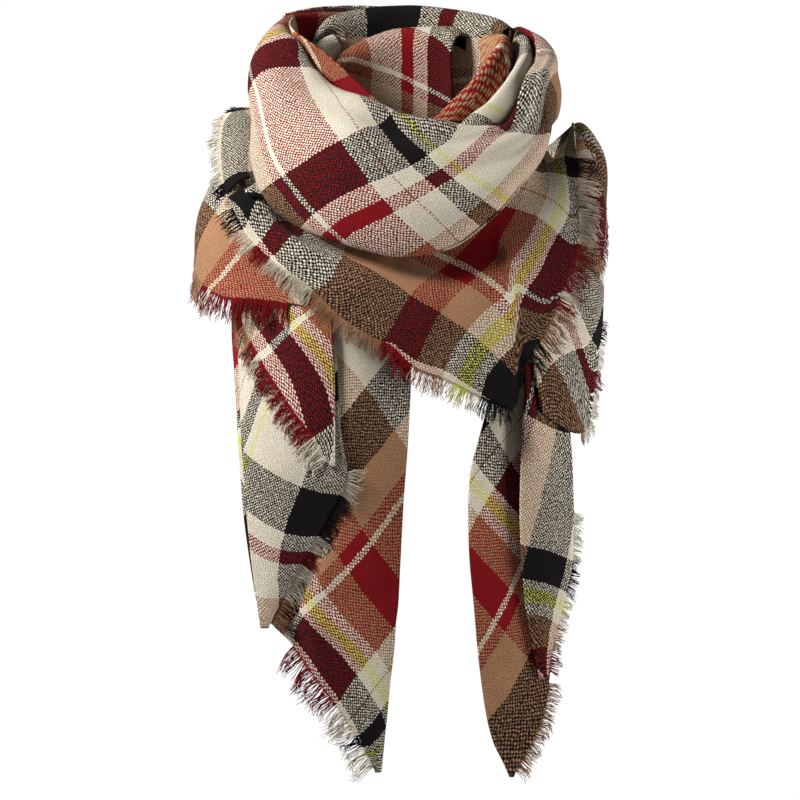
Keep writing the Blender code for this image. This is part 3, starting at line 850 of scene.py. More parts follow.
class Strands:
    """Geometry nodes that grow loose yarn ends from a line of points."""

    STEPS = 6  # points along a strand
    TUFT_SCALE = 260.0
    BEND_SCALE = 95.0
    LIFT = 0.22  # how far a strand may stand off the cloth, over its length
    TAPER = 0.35  # how much thinner a strand is at its tip
    CHANCES = (
        # what, least, most, how much a tuft shares
        ("grow", 0.7, 1.05, 1.1),
        ("lean", -0.45, 0.45, 4.5),
        ("lift", -0.3, 0.6, 2.0),
    )

    def __init__(self) -> None:
        """Builds the tree."""
        tree = bpy.data.node_groups.new("loose_yarn_ends", "GeometryNodeTree")
        face = tree.interface
        face.new_socket("Geometry", in_out="INPUT", socket_type="NodeSocketGeometry")
        kinds = {
            "Count": "NodeSocketInt",
            "Length": "NodeSocketFloat",
            "Thickness": "NodeSocketFloat",
            "Spread": "NodeSocketFloat",
            "Sag": "NodeSocketFloat",
            "Wave": "NodeSocketFloat",
            "Seed": "NodeSocketInt",
            "Material": "NodeSocketMaterial",
        }
        self.sockets = {
            name: face.new_socket(name, in_out="INPUT", socket_type=kind) for name, kind in kinds.items()
        }
        face.new_socket("Geometry", in_out="OUTPUT", socket_type="NodeSocketGeometry")
        self.tree = tree
        self._build(Graph(tree))

    def _build(self, graph: Graph) -> None:
        """Adds the nodes.

        Args:
            graph: the tree that takes them.
        """
        given = graph.add("NodeGroupInput", {}, {}).outputs
        line = graph.add("GeometryNodeMeshToCurve", {}, {0: given["Geometry"]})
        even = {"Curve": line.outputs[0], "Count": given["Count"]}
        roots = graph.add("GeometryNodeResampleCurve", {}, even)
        geometry = roots.outputs[0]
        root = graph.add("GeometryNodeInputPosition", {}, {}).outputs[0]
        solid = {"noise_dimensions": "3D"}
        tufts = graph.add("ShaderNodeTexNoise", solid, {"Vector": root, "Scale": self.TUFT_SCALE})
        tufts = graph.add("ShaderNodeSeparateXYZ", {}, {0: tufts.outputs["Color"]})
        for i, (name, low, high, tuft) in enumerate(self.CHANCES):
            seed = Signal(graph, given["Seed"]) + i
            limits = {2: low, 3: high, "Seed": seed}
            chance = graph.signal("FunctionNodeRandomValue", {"data_type": "FLOAT"}, limits, 1)
            value = chance + (Signal(graph, tufts.outputs[i]) - 0.5) * tuft
            geometry = self._store(graph, geometry, name, value)
        stem = graph.add("GeometryNodeCurvePrimitiveLine", {}, {"Start": (0, 0, 0), "End": (0, 0, 1)})
        stem = graph.add("GeometryNodeResampleCurve", {}, {"Curve": stem.outputs[0], "Count": self.STEPS})
        copies = {"Points": geometry, "Instance": stem.outputs[0]}
        placed = graph.add("GeometryNodeInstanceOnPoints", {}, copies)
        real = graph.add("GeometryNodeRealizeInstances", {}, {0: placed.outputs[0]})
        along = graph.signal("GeometryNodeSplineParameter", {}, {})
        here = graph.add("GeometryNodeInputPosition", {}, {}).outputs[0]
        reach = along * given["Length"] * self._read(graph, "grow")
        side_way = reach * self._read(graph, "lean") * given["Spread"]
        lift_way = reach * self._read(graph, "lift") * self.LIFT
        spots = {"Vector": here, "Scale": self.BEND_SCALE, "Detail": 1.0}
        noise = graph.add("ShaderNodeTexNoise", solid, spots)
        centred = {0: noise.outputs[1], 1: (0.5, 0.5, 0.5)}
        bend = graph.add("ShaderNodeVectorMath", {"operation": "SUBTRACT"}, centred)
        moves = [
            self._scaled(graph, (0.0, 0.0, -1.0), along),
            self._scaled(graph, self._way(graph, "out"), reach),
            self._scaled(graph, self._way(graph, "side"), side_way),
            self._scaled(graph, self._way(graph, "up"), lift_way),
            self._scaled(graph, (0.0, 0.0, -1.0), reach * along * given["Sag"]),
            self._scaled(graph, bend.outputs[0], reach * given["Wave"] * 4.0),
        ]
        total = moves[0]
        for move in moves[1:]:
            total = graph.add("ShaderNodeVectorMath", {"operation": "ADD"}, {0: total, 1: move}).outputs[0]
        moved = graph.add("GeometryNodeSetPosition", {}, {0: real.outputs[0], "Offset": total})
        radius = (1.0 - self.TAPER * along) * given["Thickness"]
        rim = graph.add("GeometryNodeCurvePrimitiveCircle", {}, {"Resolution": 3, "Radius": 1.0})
        body = graph.add(
            "GeometryNodeCurveToMesh",
            {},
            {"Curve": moved.outputs[0], "Profile Curve": rim.outputs[0], "Scale": radius, "Fill Caps": True},
        )
        whole = graph.add("GeometryNodeRealizeInstances", {}, {0: body.outputs[0]})
        finish = {0: whole.outputs[0], "Material": given["Material"]}
        dressed = graph.add("GeometryNodeSetMaterial", {}, finish)
        graph.add("NodeGroupOutput", {}, {0: dressed.outputs[0]})

    @staticmethod
    def _store(graph: Graph, geometry: object, name: str, value: object) -> bpy.types.NodeSocket:
        """Keeps a number for each root.

        Args:
            graph: the tree.
            geometry: what holds the roots.
            name: what the number is called.
            value: the number.

        Returns:
            The geometry that carries the number.
        """
        made = graph.add(
            "GeometryNodeStoreNamedAttribute",
            {"data_type": "FLOAT", "domain": "POINT"},
            {"Geometry": geometry, "Name": name, "Value": value},
        )
        return made.outputs[0]

    @staticmethod
    def _read(graph: Graph, name: str) -> Signal:
        """Reads a number kept for each root."""
        return graph.signal("GeometryNodeInputNamedAttribute", {"data_type": "FLOAT"}, {"Name": name})

    @staticmethod
    def _way(graph: Graph, name: str) -> bpy.types.NodeSocket:
        """Reads a direction kept for each root."""
        made = graph.add("GeometryNodeInputNamedAttribute", {"data_type": "FLOAT_VECTOR"}, {"Name": name})
        return made.outputs[0]

    @staticmethod
    def _scaled(graph: Graph, way: object, by: Signal) -> bpy.types.NodeSocket:
        """A direction times a number."""
        made = graph.add("ShaderNodeVectorMath", {"operation": "SCALE"}, {0: way, "Scale": by})
        return made.outputs[0]

    def grown(
        self, name: str, edge: "Edge", fringe: Fringe, material: bpy.types.Material
    ) -> bpy.types.Object:
        """Grows the strands of one fringe and makes them a plain mesh.

        Args:
            name: the new object's name.
            edge: the line that they grow from.
            fringe: their sizes.
            material: their finish.

        Returns:
            The new object.
        """
        base = edge.mesh(name + "_roots")
        holder = link_new(name + "_roots", base)
        holder.modifiers.new("strands", "NODES").node_group = self.tree
        count = max(6, round(edge.length() / fringe.pitch))
        values = {
            "Count": count,
            "Length": fringe.length * MM,
            "Thickness": fringe.thick * MM,
            "Spread": fringe.spread,
            "Sag": fringe.sag,
            "Wave": fringe.wave,
            "Seed": fringe.seed * 7,
            "Material": material,
        }
        for key, value in values.items():
            holder.modifiers[0][self.sockets[key].identifier] = value
        graph = bpy.context.evaluated_depsgraph_get()
        mesh = bpy.data.meshes.new_from_object(holder.evaluated_get(graph))
        bpy.data.objects.remove(holder)
        return link_new(name, mesh)


@dataclass
class Edge:
    """A cut edge of a stretch: its points, the ways out of the cloth and off the neck, and its cloth."""

    line: np.ndarray
    out: np.ndarray
    up: np.ndarray
    fabric: np.ndarray

    @classmethod
    def of(cls, surface: "Surface", side: Side, part: tuple[float, float]) -> "Edge":
        """Reads an edge of a surface.

        Args:
            surface: the stretch's surface.
            side: which edge.
            part: where on the edge it starts and ends, in parts of the whole.

        Returns:
            The edge.
        """
        grid, cloth, place = surface.grid, surface.fabric, surface.places
        last, before = (0, 1) if side is Side.LEFT else (-1, -2)
        line = grid[:, last]
        keep = (place[:, last, 0] >= part[0] - 1e-6) & (place[:, last, 0] <= part[1] + 1e-6)
        up = normals_of(grid)[:, last]
        square = np.cross(np.gradient(line, axis=0), up)
        out = square * np.sign((square * (line - grid[:, before])).sum(axis=1))[:, None]
        out /= np.linalg.norm(out, axis=1, keepdims=True)
        return cls(line[keep], out[keep], up[keep], cloth[keep, last])

    def length(self) -> float:
        """How long the edge is, in millimetres."""
        return float(lengths_along(self.line)[-1])

    def mesh(self, name: str) -> bpy.types.Mesh:
        """The edge as a line of points that carry their directions and their place in the cloth.

        Args:
            name: what the mesh is called.

        Returns:
            The mesh.
        """
        mesh = bpy.data.meshes.new(name)
        links = [(i, i + 1) for i in range(len(self.line) - 1)]
        mesh.from_pydata((self.line * MM).tolist(), links, [])
        side = np.cross(self.out, self.up)
        cloth = np.concatenate([self.fabric * MM, np.zeros((len(self.fabric), 1))], axis=1)
        for key, values in (("out", self.out), ("side", side), ("up", self.up), ("cloth", cloth)):
            made = mesh.attributes.new(key, "FLOAT_VECTOR", "POINT")
            made.data.foreach_set("vector", np.ascontiguousarray(values, dtype=np.float32).ravel())
        return mesh


@dataclass
class Surface:
    """The settled middle surface of a stretch."""

    grid: np.ndarray
    places: np.ndarray
    fabric: np.ndarray


@dataclass
class Loom:
    """Settles the stretches on each other and turns them into meshes."""

    pitch: float
    cloth: bpy.types.Material
    loose: dict[YarnSet, bpy.types.Material]
    strands: Strands
    surfaces: dict[str, Surface] = field(default_factory=dict)

    def settle(self, stretch: Stretch) -> Surface:
        """Works out where a stretch lies.

        Args:
            stretch: the stretch, whose below names others that are settled already.

        Returns:
            Its surface.
        """
        grid, places = stretch.points(self.pitch)
        grid = stretch.creased(grid, places)
        if stretch.below:
            below = [self.surfaces[name].grid for name in stretch.below]
            below[-1] = below[-1][: math.ceil(len(below[-1]) * stretch.last_part)]
            grid = laid_over(grid, below, stretch.need)
        surface = Surface(grid, places, LAYS[stretch.node].at(places))
        self.surfaces[stretch.node] = surface
        return surface

    def piece(self, stretch: Stretch, strands: Sequence[bpy.types.Object]) -> bpy.types.Object:
        """Args:
            stretch: the stretch.
            strands: the fringes on it, which are not used.

        Returns:
            The new object.
        """
        surface = self.surfaces[stretch.node]
        quads = quads_of(surface.grid)
        mesh = bpy.data.meshes.new(stretch.node + "_cloth")
        mesh.from_pydata((surface.grid.reshape(-1, 3) * MM).tolist(), [], quads.tolist())
        layer = mesh.uv_layers.new(name=FABRIC_UV)
        corners = surface.fabric.reshape(-1, 2)[quads.ravel()] * MM
        layer.uv.foreach_set("vector", np.ascontiguousarray(corners, dtype=np.float32).ravel())
        mesh.polygons.foreach_set("use_smooth", [True] * len(mesh.polygons))
        mesh.materials.append(self.cloth)
        obj = link_new(stretch.node + "_cloth", mesh)
        smooth = obj.modifiers.new("smooth", "SUBSURF")
        smooth.levels = smooth.render_levels = 1
        smooth.boundary_smooth = "PRESERVE_CORNERS"
        wall = obj.modifiers.new("wall", "SOLIDIFY")
        wall.thickness = WALL * MM
        wall.offset = 0.0
        wall.use_even_offset = False
        self._fit(obj, stretch.node)
        stretch.flat_size(surface.grid)
        min(self._area(surface.grid), math.prod(stretch.flat_size(surface.grid)))
        log.info("%s: %d faces", obj.name, len(mesh.polygons))
        return obj

    def fray(self, fringe: Fringe) -> bpy.types.Object:
        """Grows one fringe from its stretch's edge and lays it over what is below.

        Args:
            fringe: the fringe.

        Returns:
            The new object.
        """
        edge = Edge.of(self.surfaces[fringe.stretch], fringe.side, fringe.part)
        name = fringe.node + "_strands"
        obj = self.strands.grown(name, edge, fringe, self.loose[fringe.yarns])
        mesh = obj.data
        points = np.empty(len(mesh.vertices) * 3, np.float32)
        mesh.vertices.foreach_get("co", points)
        points = points.reshape(-1, 3).astype(float) / MM
        ways = outward_of(points)
        trees = [tree_of(self.surfaces[name].grid)[0] for name in fringe.over]
        need = WALL / 2 + fringe.thick + 0.4
        for i, (point, way) in enumerate(zip(points, ways)):
            pushes = (shortfall(tree, point, way, need, STRAND_PUSH, True)[0] for tree in trees)
            short = max(pushes, default=0.0)
            if short > 0:
                points[i] = point + way * short
        mesh.vertices.foreach_set("co", (points * MM).astype(np.float32).ravel())
        cloth = np.empty(len(mesh.vertices) * 3, np.float32)
        mesh.attributes["cloth"].data.foreach_get("vector", cloth)
        corner = np.empty(len(mesh.loops), np.int32)
        mesh.loops.foreach_get("vertex_index", corner)
        layer = mesh.uv_layers.new(name=FABRIC_UV)
        layer.uv.foreach_set("vector", np.ascontiguousarray(cloth.reshape(-1, 3)[corner, :2]).ravel())
        mesh.polygons.foreach_set("use_smooth", [True] * len(mesh.polygons))
        mesh.update()
        self._fit(obj, fringe.node)
        log.info("%s: %d faces", obj.name, len(mesh.polygons))
        return obj

    @staticmethod
    def _fit(obj: bpy.types.Object, node: str) -> None:
        """Lets a piece stand for its node and ride on the body.

        Args:
            obj: the piece.
            node: the node that it stands for.
        """
        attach(obj, BODY)
        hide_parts(node)

    @staticmethod
    def _area(grid: np.ndarray) -> float:
        """The area of a grid, in square metres."""
        across = np.cross(grid[1:, 1:] - grid[:-1, :-1], grid[1:, :-1] - grid[:-1, 1:])
        return float(np.linalg.norm(across, axis=2).sum() / 2 * MM * MM)


# Stretches that go round the neck. A row is one section: the turn in degrees round the neck (0 at the front,
# minus to the left as seen from the front, 180 at the nape), then (reach, height) pairs outwards.
COWL_FRONT = (
    # turn   inner       rim         brow        belly       fold        tuck
    (-158, (98, 102), (110, 146), (124, 126), (134, 70), (125, 10), (113, 4)),
    (-120, (100, 108), (115, 146), (132, 130), (142, 86), (124, 16), (112, 8)),
    (-90, (96, 102), (112, 136), (132, 123), (143, 86), (120, 30), (108, 8)),
    (-76, (88, 94), (103, 127), (130, 114), (143, 79), (134, 18), (122, 0)),
    (-65, (84, 84), (97, 109), (127, 103), (145, 70), (147, 8), (136, 1)),
    (-45, (76, 62), (88, 85), (123, 84), (152, 46), (157, -27), (144, -30)),
    (-20, (78, 50), (94, 78), (128, 70), (165, 17), (159, -50), (144, -48)),
    (0, (86, 36), (106, 65), (140, 46), (171, -10), (160, -64), (146, -58)),
    (15, (92, 32), (112, 60), (144, 40), (171, -16), (161, -60), (147, -54)),
    (30, (98, 28), (116, 54), (142, 46), (167, 2), (160, -36), (147, -30)),
    (45, (107, 28), (125, 53), (144, 48), (161, 20), (158, -6), (147, -6)),
    (54, (112, 42), (124, 68), (139, 66), (156, 42), (157, 12), (147, 9)),
    (60, (112, 54), (122, 88), (135, 90), (151, 62), (156, 26), (147, 22)),
    (68, (113, 62), (122, 101), (133, 105), (145, 76), (150, 40), (141, 34)),
    (78, (114, 70), (122, 109), (132, 112), (143, 83), (146, 52), (138, 44)),
    (95, (114, 77), (122, 119), (131, 121), (143, 85), (143, 50), (133, 40)),
    (124, (110, 80), (119, 131), (128, 133), (138, 96), (133, 41), (121, 30)),
)
NAPE_WRAP = (
    # turn   edge        brow        belly       hem
    (104, (125, 92), (129, 82), (130, 70), (127, 58)),
    (126, (125, 104), (129, 92), (130, 70), (126, 48)),
    (142, (117, 134), (130, 114), (139, 60), (136.5, -6)),
    (180, (108, 148), (125, 128), (138, 60), (125, -16)),
    (212, (116, 151), (132, 130), (143, 62), (134, -14)),
    (242, (125, 146), (139, 126), (147, 76), (141, 11)),
)
ROLL_RIGHT_MIDDLE = (
    # turn   inner      rim         brow        fold        tuck
    (18, (90, 12), (97, 34), (105, 38), (109, 27), (105, 13)),
    (35, (95, 34), (102, 61), (112, 65), (118, 51), (110, 33)),
    (45, (96, 44), (103, 70), (113, 76), (119, 60), (111, 41)),
    (55, (97, 56), (104, 82), (113, 91), (119, 75), (111, 47)),
    (69, (99, 66), (104, 98), (112, 107), (118, 90), (111, 55)),
    (90, (100, 75), (105, 114), (112, 122), (118, 106), (112, 65)),
    (113, (102, 80), (107, 126), (113, 133), (117, 114), (111, 70)),
    (132, (103, 82), (108, 133), (112, 137), (114, 106), (109, 68)),
)
ROLL_RIGHT_INNER = (
    # turn   inner      rim        brow       fold       tuck
    (8, (66, 32), (69, 45), (77, 49), (81, 41), (79, 28)),
    (22, (70, 44), (73, 56), (80, 61), (86, 53), (84, 38)),
    (38, (74, 60), (77, 76), (84, 81), (90, 73), (89, 50)),
    (50, (76, 74), (80, 91), (86, 96), (93, 86), (92, 56)),
    (68, (78, 86), (81, 109), (87, 114), (94, 101), (93, 64)),
    (85, (80, 92), (84, 119), (90, 124), (96, 111), (95, 70)),
    (100, (84, 96), (88, 125), (93, 129), (98, 114), (96, 74)),
    (125, (85, 98), (89, 126), (92, 128), (95, 112), (92, 76)),
)
NECK_INNER_WRAP = (
    # turn   foot       waist      rim         turned      hem
    (-222, (61, 18), (65, 62), (76, 127), (82.7, 128), (82.7, 112)),
    (-210, (60, 16), (65, 66), (77, 132), (83.7, 134), (83.7, 118)),
    (-180, (59, 14), (64, 66), (76, 131), (82, 132), (82, 115)),
    (-150, (60, 16), (65, 64), (74, 120), (80, 121), (80, 106)),
    (-118, (60, 18), (64, 58), (71, 100), (76, 101), (76, 87)),
    (-78, (58, 10), (60, 36), (64, 66), (68, 67), (69, 54)),
)
NECK_BACK_BAND = (
    # turn   foot       waist      rim          turned       hem
    (-112, (84, 54), (88, 84), (93, 108), (97, 109), (98, 98)),
    (-140, (84, 52), (88, 98), (97, 142), (103, 144), (104, 126)),
    (-180, (84, 50), (89, 100), (98, 149), (104, 152), (105, 135)),
    (-206, (85, 52), (90, 98), (97, 146), (102, 149), (103, 132)),
    (-222, (87, 56), (91, 96), (97, 143), (102, 146), (103, 130)),
    (-238, (89, 62), (93, 98), (98, 138), (103, 141), (104, 125)),
    (-248, (91, 70), (95, 100), (99, 133), (104, 136), (105, 121)),
)
NECK_LEFT_FOLD = (
    # turn   foot       waist      rim         turned     hem
    (-62, (74, 54), (76, 76), (80, 92), (84, 92), (85, 82)),
    (-85, (76, 56), (79, 84), (85, 104), (90, 105), (91, 94)),
    (-110, (74, 58), (75, 92), (84, 116), (91, 117), (93, 104)),
    (-134, (80, 60), (83, 90), (90, 126), (95, 127), (96, 112)),
)
RIM_TURN_LEFT = (
    # turn   hem        middle     rim
    (-108, (102, 116), (104, 133), (108, 145)),
    (-90, (99, 108), (101, 126), (105, 138)),
    (-65, (85, 92), (87, 111), (91, 123)),
    (-45, (75, 73), (77, 92), (81, 103)),
    (-26, (73, 56), (75, 74), (79, 84)),
    (-10, (76, 42), (79, 58), (84, 67)),
)
BIB = (
    # turn    top          throat       middle       hem
    (-62, (120, 8), (132, -13), (157, -2), (182, -12)),
    (-57, (120, 2), (132, -20), (158, -6.8), (184, -24)),
    (-51, (120, -8), (132, -36), (160, -27), (184, -43)),
    (-41, (120, -20), (132, -50), (160, -45), (185, -63)),
    (-29, (120, -28), (133, -56), (157, -61), (181, -85)),
    (-20, (122, -32), (134, -60), (156, -74), (178, -111)),
    (-10, (122, -38), (134, -66), (156, -84), (176, -130)),
    (-4, (122, -42), (134, -70), (157, -90), (176, -138)),
    (3, (122, -42), (134, -70), (158, -96), (178, -158)),
    (12, (122, -40), (134, -69), (158, -98), (179, -169)),
    (21, (122, -30), (134, -60), (159, -94), (180, -184)),
    (34, (123, -10), (135, -40), (162, -86), (182, -198)),
    (36, (123, -8), (135, -37), (162, -76), (182, -156)),
    (38, (123, -4), (135, -33), (162, -72), (182, -148)),
    (45, (124, 8), (136, -20), (162, -56), (182, -127)),
    (52, (126, 20), (138, -6), (162, -36), (182, -90)),
    (60, (128, 34), (140, 8), (162, -8), (182, -52)),
    (63, (129, 38), (141, 14), (160, 8), (177, -12)),
    (68, (129, 34), (141, 15), (156, 24), (168, 26)),
    (74, (130, 32), (142, 18.5), (152, 33.5), (159, 53)),
)
SHOULDER_LEFT = (
    # turn    top         middle      hem
    (-104, (138, 58), (149, 60), (158, 60)),
    (-92, (132, 46), (151, 50), (166, 49)),
    (-84, (134, 38), (154, 40), (169, 34)),
    (-76, (143, 26), (158, 26), (172, 16)),
    (-69, (149, 12), (163, 10), (176, -1)),
    (-64, (153, 6), (167, 2), (179, -8)),
)
SHOULDER_RIGHT = (
    # turn   top         shoulder    side        hem
    (60, (136, -10), (148, -22), (162, -44), (171, -84)),
    (66, (139, -6), (156, -5), (171, -22), (179, -80)),
    (72, (140, 8), (159, 27), (180, 2), (186, -76)),
    (80, (139, 8), (163, 44), (182, 18), (186, -48)),
    (90, (137, 14), (161, 50), (178, 28), (183, -16)),
    (100, (134, 14), (154, 40), (169, 32), (174, 8)),
    (110, (130, 14), (145, 26), (156, 26), (161, 12)),
    (125, (126, 10), (137, 14), (146, 10), (149, -2)),
    (145, (122, 4), (129, 4), (135, -4), (137, -16)),
    (165, (119, -2), (124, -4), (128, -12), (128, -22)),
)
BIB_UNDER_LEFT = (
    # turn    top          shoulder    side         hem
    (-165, (112, -10), (120, -11), (125, -18), (128, -30)),
    (-145, (114, -8), (126, -8), (135, -17), (140, -34)),
    (-120, (118, -4), (138, 3), (154, -10), (164, -42)),
    (-100, (126, -2), (154, 10), (176, -14), (188, -66)),
    (-84, (134, -14), (168, 2), (187, -28), (194, -84)),
    (-77, (136, -18), (164, -4), (184, -34), (193, -92)),
    (-69, (138, -24), (160, -18), (180, -46), (190, -98)),
    (-60, (138, -34), (156, -34), (174, -60), (185, -103)),
    (-50, (137, -48), (150, -50), (167, -72), (177, -102)),
    (-40, (136, -58), (146, -62), (159, -80), (170, -104)),
    (-33, (135, -64), (144, -70), (155, -84), (166, -106)),
)
BIB_UNDER_RIGHT = (
    # turn    top          middle       hem
    (44, (143, -44), (158, -112), (174, -204)),
    (50, (144, -40), (162, -112), (178, -216)),
    (60, (149, -34), (170, -112), (184, -228)),
    (65, (155, -30), (174, -102), (184, -226)),
    (70, (160, -26), (180, -90), (184, -190)),
    (76, (165, -22), (184, -66), (186, -130)),
)

# Panels that hang free. A row is one height: where the left and right edges are, how far each stands forward
# of the line between the two and how much the middle bows forward.
TAIL_LEFT_BACK = (
    # height  left   right  reach  bow
    (-92, -132, 4, 152.5, 0),
    (-115, -158, 6, 161, 0),
    (-170, -155, 6, 166, 2),
    (-230, -151, 4, 172, 4),
    (-290, -147, 0, 176, 5),
    (-350, -139, -3, 180, 5),
    (-380, -134, -5, 182, 4),
    (-396, -123, -7, 183, 4),
    (-415, -104, -8, 183, 4),
    (-450, -77, -12, 184, 3),
    (-478, -56, -15, 184, 2),
    (-502, -41, -18, 184, 1),
    (-524, -30, -21, 184, 0),
    (-532, -27, -22, 184, 0),
)
TAIL_LEFT_FLAP = (
    (-96, -134, -60, 156, 0),
    (-120, -152, -62, 164, 1),
    (-180, -150, -60, 170, 3),
    (-230, -148, -56, 176, 4),
    (-257, -146, -52, 179, 4),
    (-290, -144, -66, 181, 4),
    (-330, -140, -88, 184, 3),
    (-370, -135, -110, 186, 2),
    (-400, -131, -124, 187, 0),
)
TAIL_LEFT_TOP = (
    (-98, -130, -66, 161, 0),
    (-120, -148, -65, 168, 1),
    (-150, -134, -64, 172.5, 2),
    (-195, -104, -63, 178.8, 2),
    (-230, -78, -63, 182.5, 1),
    (-250, -68, -63, 184, 0),
)
TAIL_RIGHT_BACK = (
    (-90, 92, 130, 151, 0),
    (-200, 74, 142, 158, 0),
    (-230, 66, 142, 164, 2),
    (-257, 59, 142, 168, 3),
    (-290, 57, 142, 172, 4),
    (-330, 58, 141, 176, 4),
    (-375, 62, 139, 180, 4),
    (-430, 67, 134, 183, 3),
    (-480, 74, 126, 184, 2),
    (-504, 80, 116, 184, 1),
    (-525, 90, 104, 184, 0),
    (-537, 95, 99, 184, 0),
)
TAIL_RIGHT_FLAP = (
    (-110, 104, 138, 152, 0),
    (-180, 108, 150, 164, 0),
    (-215, 106, 154, 170, 2),
    (-290, 104, 157, 178, 5),
    (-340, 106, 155, 182, 5),
    (-375, 109, 147, 184, 4),
    (-410, 115, 137, 186, 2),
    (-446, 122, 130, 187, 0),
)

# Soft ridges and troughs: from (round, across) to (round, across) in parts of the whole, then how far each
# stands out and how wide it is.
COWL_CREASES = (
    Crease((0.54, 0.90), (0.92, 0.88), -11.0, 30.0),
    Crease((0.40, 0.46), (0.90, 0.58), -5.0, 12.0),
    Crease((0.30, 0.30), (0.66, 0.34), -4.0, 14.0),
    Crease((0.52, 0.30), (0.92, 0.40), -5.0, 11.0),
)
BIB_CREASES = (
    Crease((0.28, 0.95), (0.40, 0.30), 4.0, 14.0),
    Crease((0.52, 0.98), (0.58, 0.35), -4.0, 15.0),
    Crease((0.68, 0.95), (0.72, 0.30), 5.0, 14.0),
)
TAIL_LEFT_CREASES = (
    Crease((0.0, 1.05), (0.95, 1.05), -17.0, 42.0),
    Crease((0.35, 0.66), (0.76, 0.02), -12.0, 15.0),
)
TAIL_RIGHT_CREASES = (
    Crease((0.0, 0.75), (0.75, 0.90), -13.0, 30.0),
    Crease((0.2, 0.20), (0.9, 0.35), 2.0, 9.0),
)
FLAP_RIGHT_CREASES = (
    Crease((0.0, 0.95), (0.95, 0.95), -7.0, 22.0),
    Crease((0.1, 0.15), (0.9, 0.25), 3.0, 9.0),
)

# How the square of cloth lies on each stretch. A row follows the stretch round the neck, or down a hanging
# end, and the rows go from its first edge to its second. All but the nape's were fitted by a program to
# places that were read off and rounded to 5 mm, and a few were then changed.
LAYS = {
    "neck_inner_wrap": Lay(
        ((240, 185, 130, 80), (240, 185, 130, 80)),
        ((30, 15, 10, 5), (170, 135, 95, 65)),
    ),
    "neck_left_fold": Lay(
        ((260, 300, 335), (270, 310, 345)),
        ((185, 200, 215), (225, 240, 255)),
    ),
    "roll_right_inner": Lay(
        ((110, 125, 140), (150, 150, 155)),
        ((120, 90, 50), (110, 80, 45)),
    ),
    "neck_back_band": Lay(
        ((140, 190, 245, 300), (150, 200, 255, 310)),
        ((110, 105, 105, 110), (0, -5, -5, 0)),
    ),
    "roll_right_middle": Lay(
        ((370, 315, 260), (315, 245, 180)),
        ((160, 260, 330), (135, 195, 270)),
    ),
    "rim_turn_left": Lay(
        ((160, 100, 35), (185, 130, 55)),
        ((30, 80, 115), (45, 90, 130)),
    ),
    "nape_wrap": Lay.tilted(330, 150, 40, 40, 300),
    "cowl_front": Lay(
        (
            (485, 410, 310, 225, 200, 240),
            (475, 385, 305, 220, 180, 195),
            (460, 360, 265, 175, 145, 130),
            (430, 335, 225, 135, 105, 75),
        ),
        (
            (80, 145, 175, 200, 270, 340),
            (65, 90, 120, 185, 280, 350),
            (0, 40, 80, 150, 260, 355),
            (-65, -15, 30, 115, 245, 340),
        ),
    ),
    "bib": Lay(
        (
            (225, 175, 150, 135, 105, 55),
            (220, 175, 130, 85, 65, 40),
            (230, 180, 120, 50, 25, 30),
            (245, 175, 105, 30, 0, 5),
        ),
        (
            (70, 70, 75, 100, 155, 175),
            (50, 40, 50, 70, 120, 185),
            (25, 20, 25, 40, 100, 190),
            (0, 0, 0, -5, 60, 210),
        ),
    ),
    "shoulder_left": Lay(
        ((340, 295, 245), (340, 295, 240), (345, 295, 235)),
        ((50, 45, 45), (45, 30, 30), (35, 10, 20)),
    ),
    "shoulder_right": Lay(
        ((70, -40, -150), (150, -20, -155)),
        ((75, 35, 25), (5, -5, 5)),
    ),
    "bib_under_left": Lay(
        ((260, 230, 210, 170), (245, 195, 155, 160), (235, 165, 110, 140)),
        ((-145, -60, 35, 145), (-150, -60, 35, 140), (-155, -60, 60, 125)),
    ),
    "bib_under_right": Lay(
        ((200, 235, 280), (160, 195, 265), (130, 150, 225)),
        ((-125, -115, -110), (-40, -15, -30), (10, 30, 5)),
    ),
    "tail_left_back": Lay(
        ((150, 55, 10, -5, 5), (195, 120, 75, 30, 5), (245, 175, 125, 65, 5)),
        ((-155, -85, 10, 85, 210), (-75, -15, 50, 110, 200), (-25, 40, 90, 135, 200)),
    ),
    "tail_left_flap": Lay(
        ((385, 285, 210, 135), (400, 310, 225, 130), (425, 330, 230, 130)),
        ((105, 145, 200, 215), (155, 205, 235, 215), (185, 255, 270, 220)),
    ),
    "tail_left_top": Lay(
        ((0, -15, 25), (50, 10, 30), (85, 35, 30)),
        ((30, 92, 140), (60, 102, 140), (80, 112, 138)),
    ),
    "tail_right_back": Lay(
        ((-80, -5, 70, 130, 155), (-100, -35, 40, 108, 155), (-125, -75, 10, 88, 155)),
        ((240, 165, 125, 75, 8), (230, 145, 95, 50, 8), (220, 125, 65, 25, 8)),
    ),
    "tail_right_flap": Lay(
        ((225, 262, 345, 430), (215, 255, 340, 435), (205, 250, 330, 435)),
        ((110, 75, 45, -5), (85, 50, 20, 0), (60, 25, -5, 0)),
    ),
}

LEFT_LAYERS = ("tail_left_back", "tail_left_flap", "tail_left_top")
RIGHT_LAYERS = ("tail_right_back", "tail_right_flap")
CHEST_BELOW = ("bib_under_left", "bib_under_right", "shoulder_right", *LEFT_LAYERS, *RIGHT_LAYERS)


def wound(node: str, rows: Rows, below: tuple[str, ...] = (), *more: object, **sizes: object) -> Stretch:
    """A dataclass field that holds a new stretch round the neck."""
    return field(default_factory=lambda: Winding(node, rows, below, *more, **sizes))


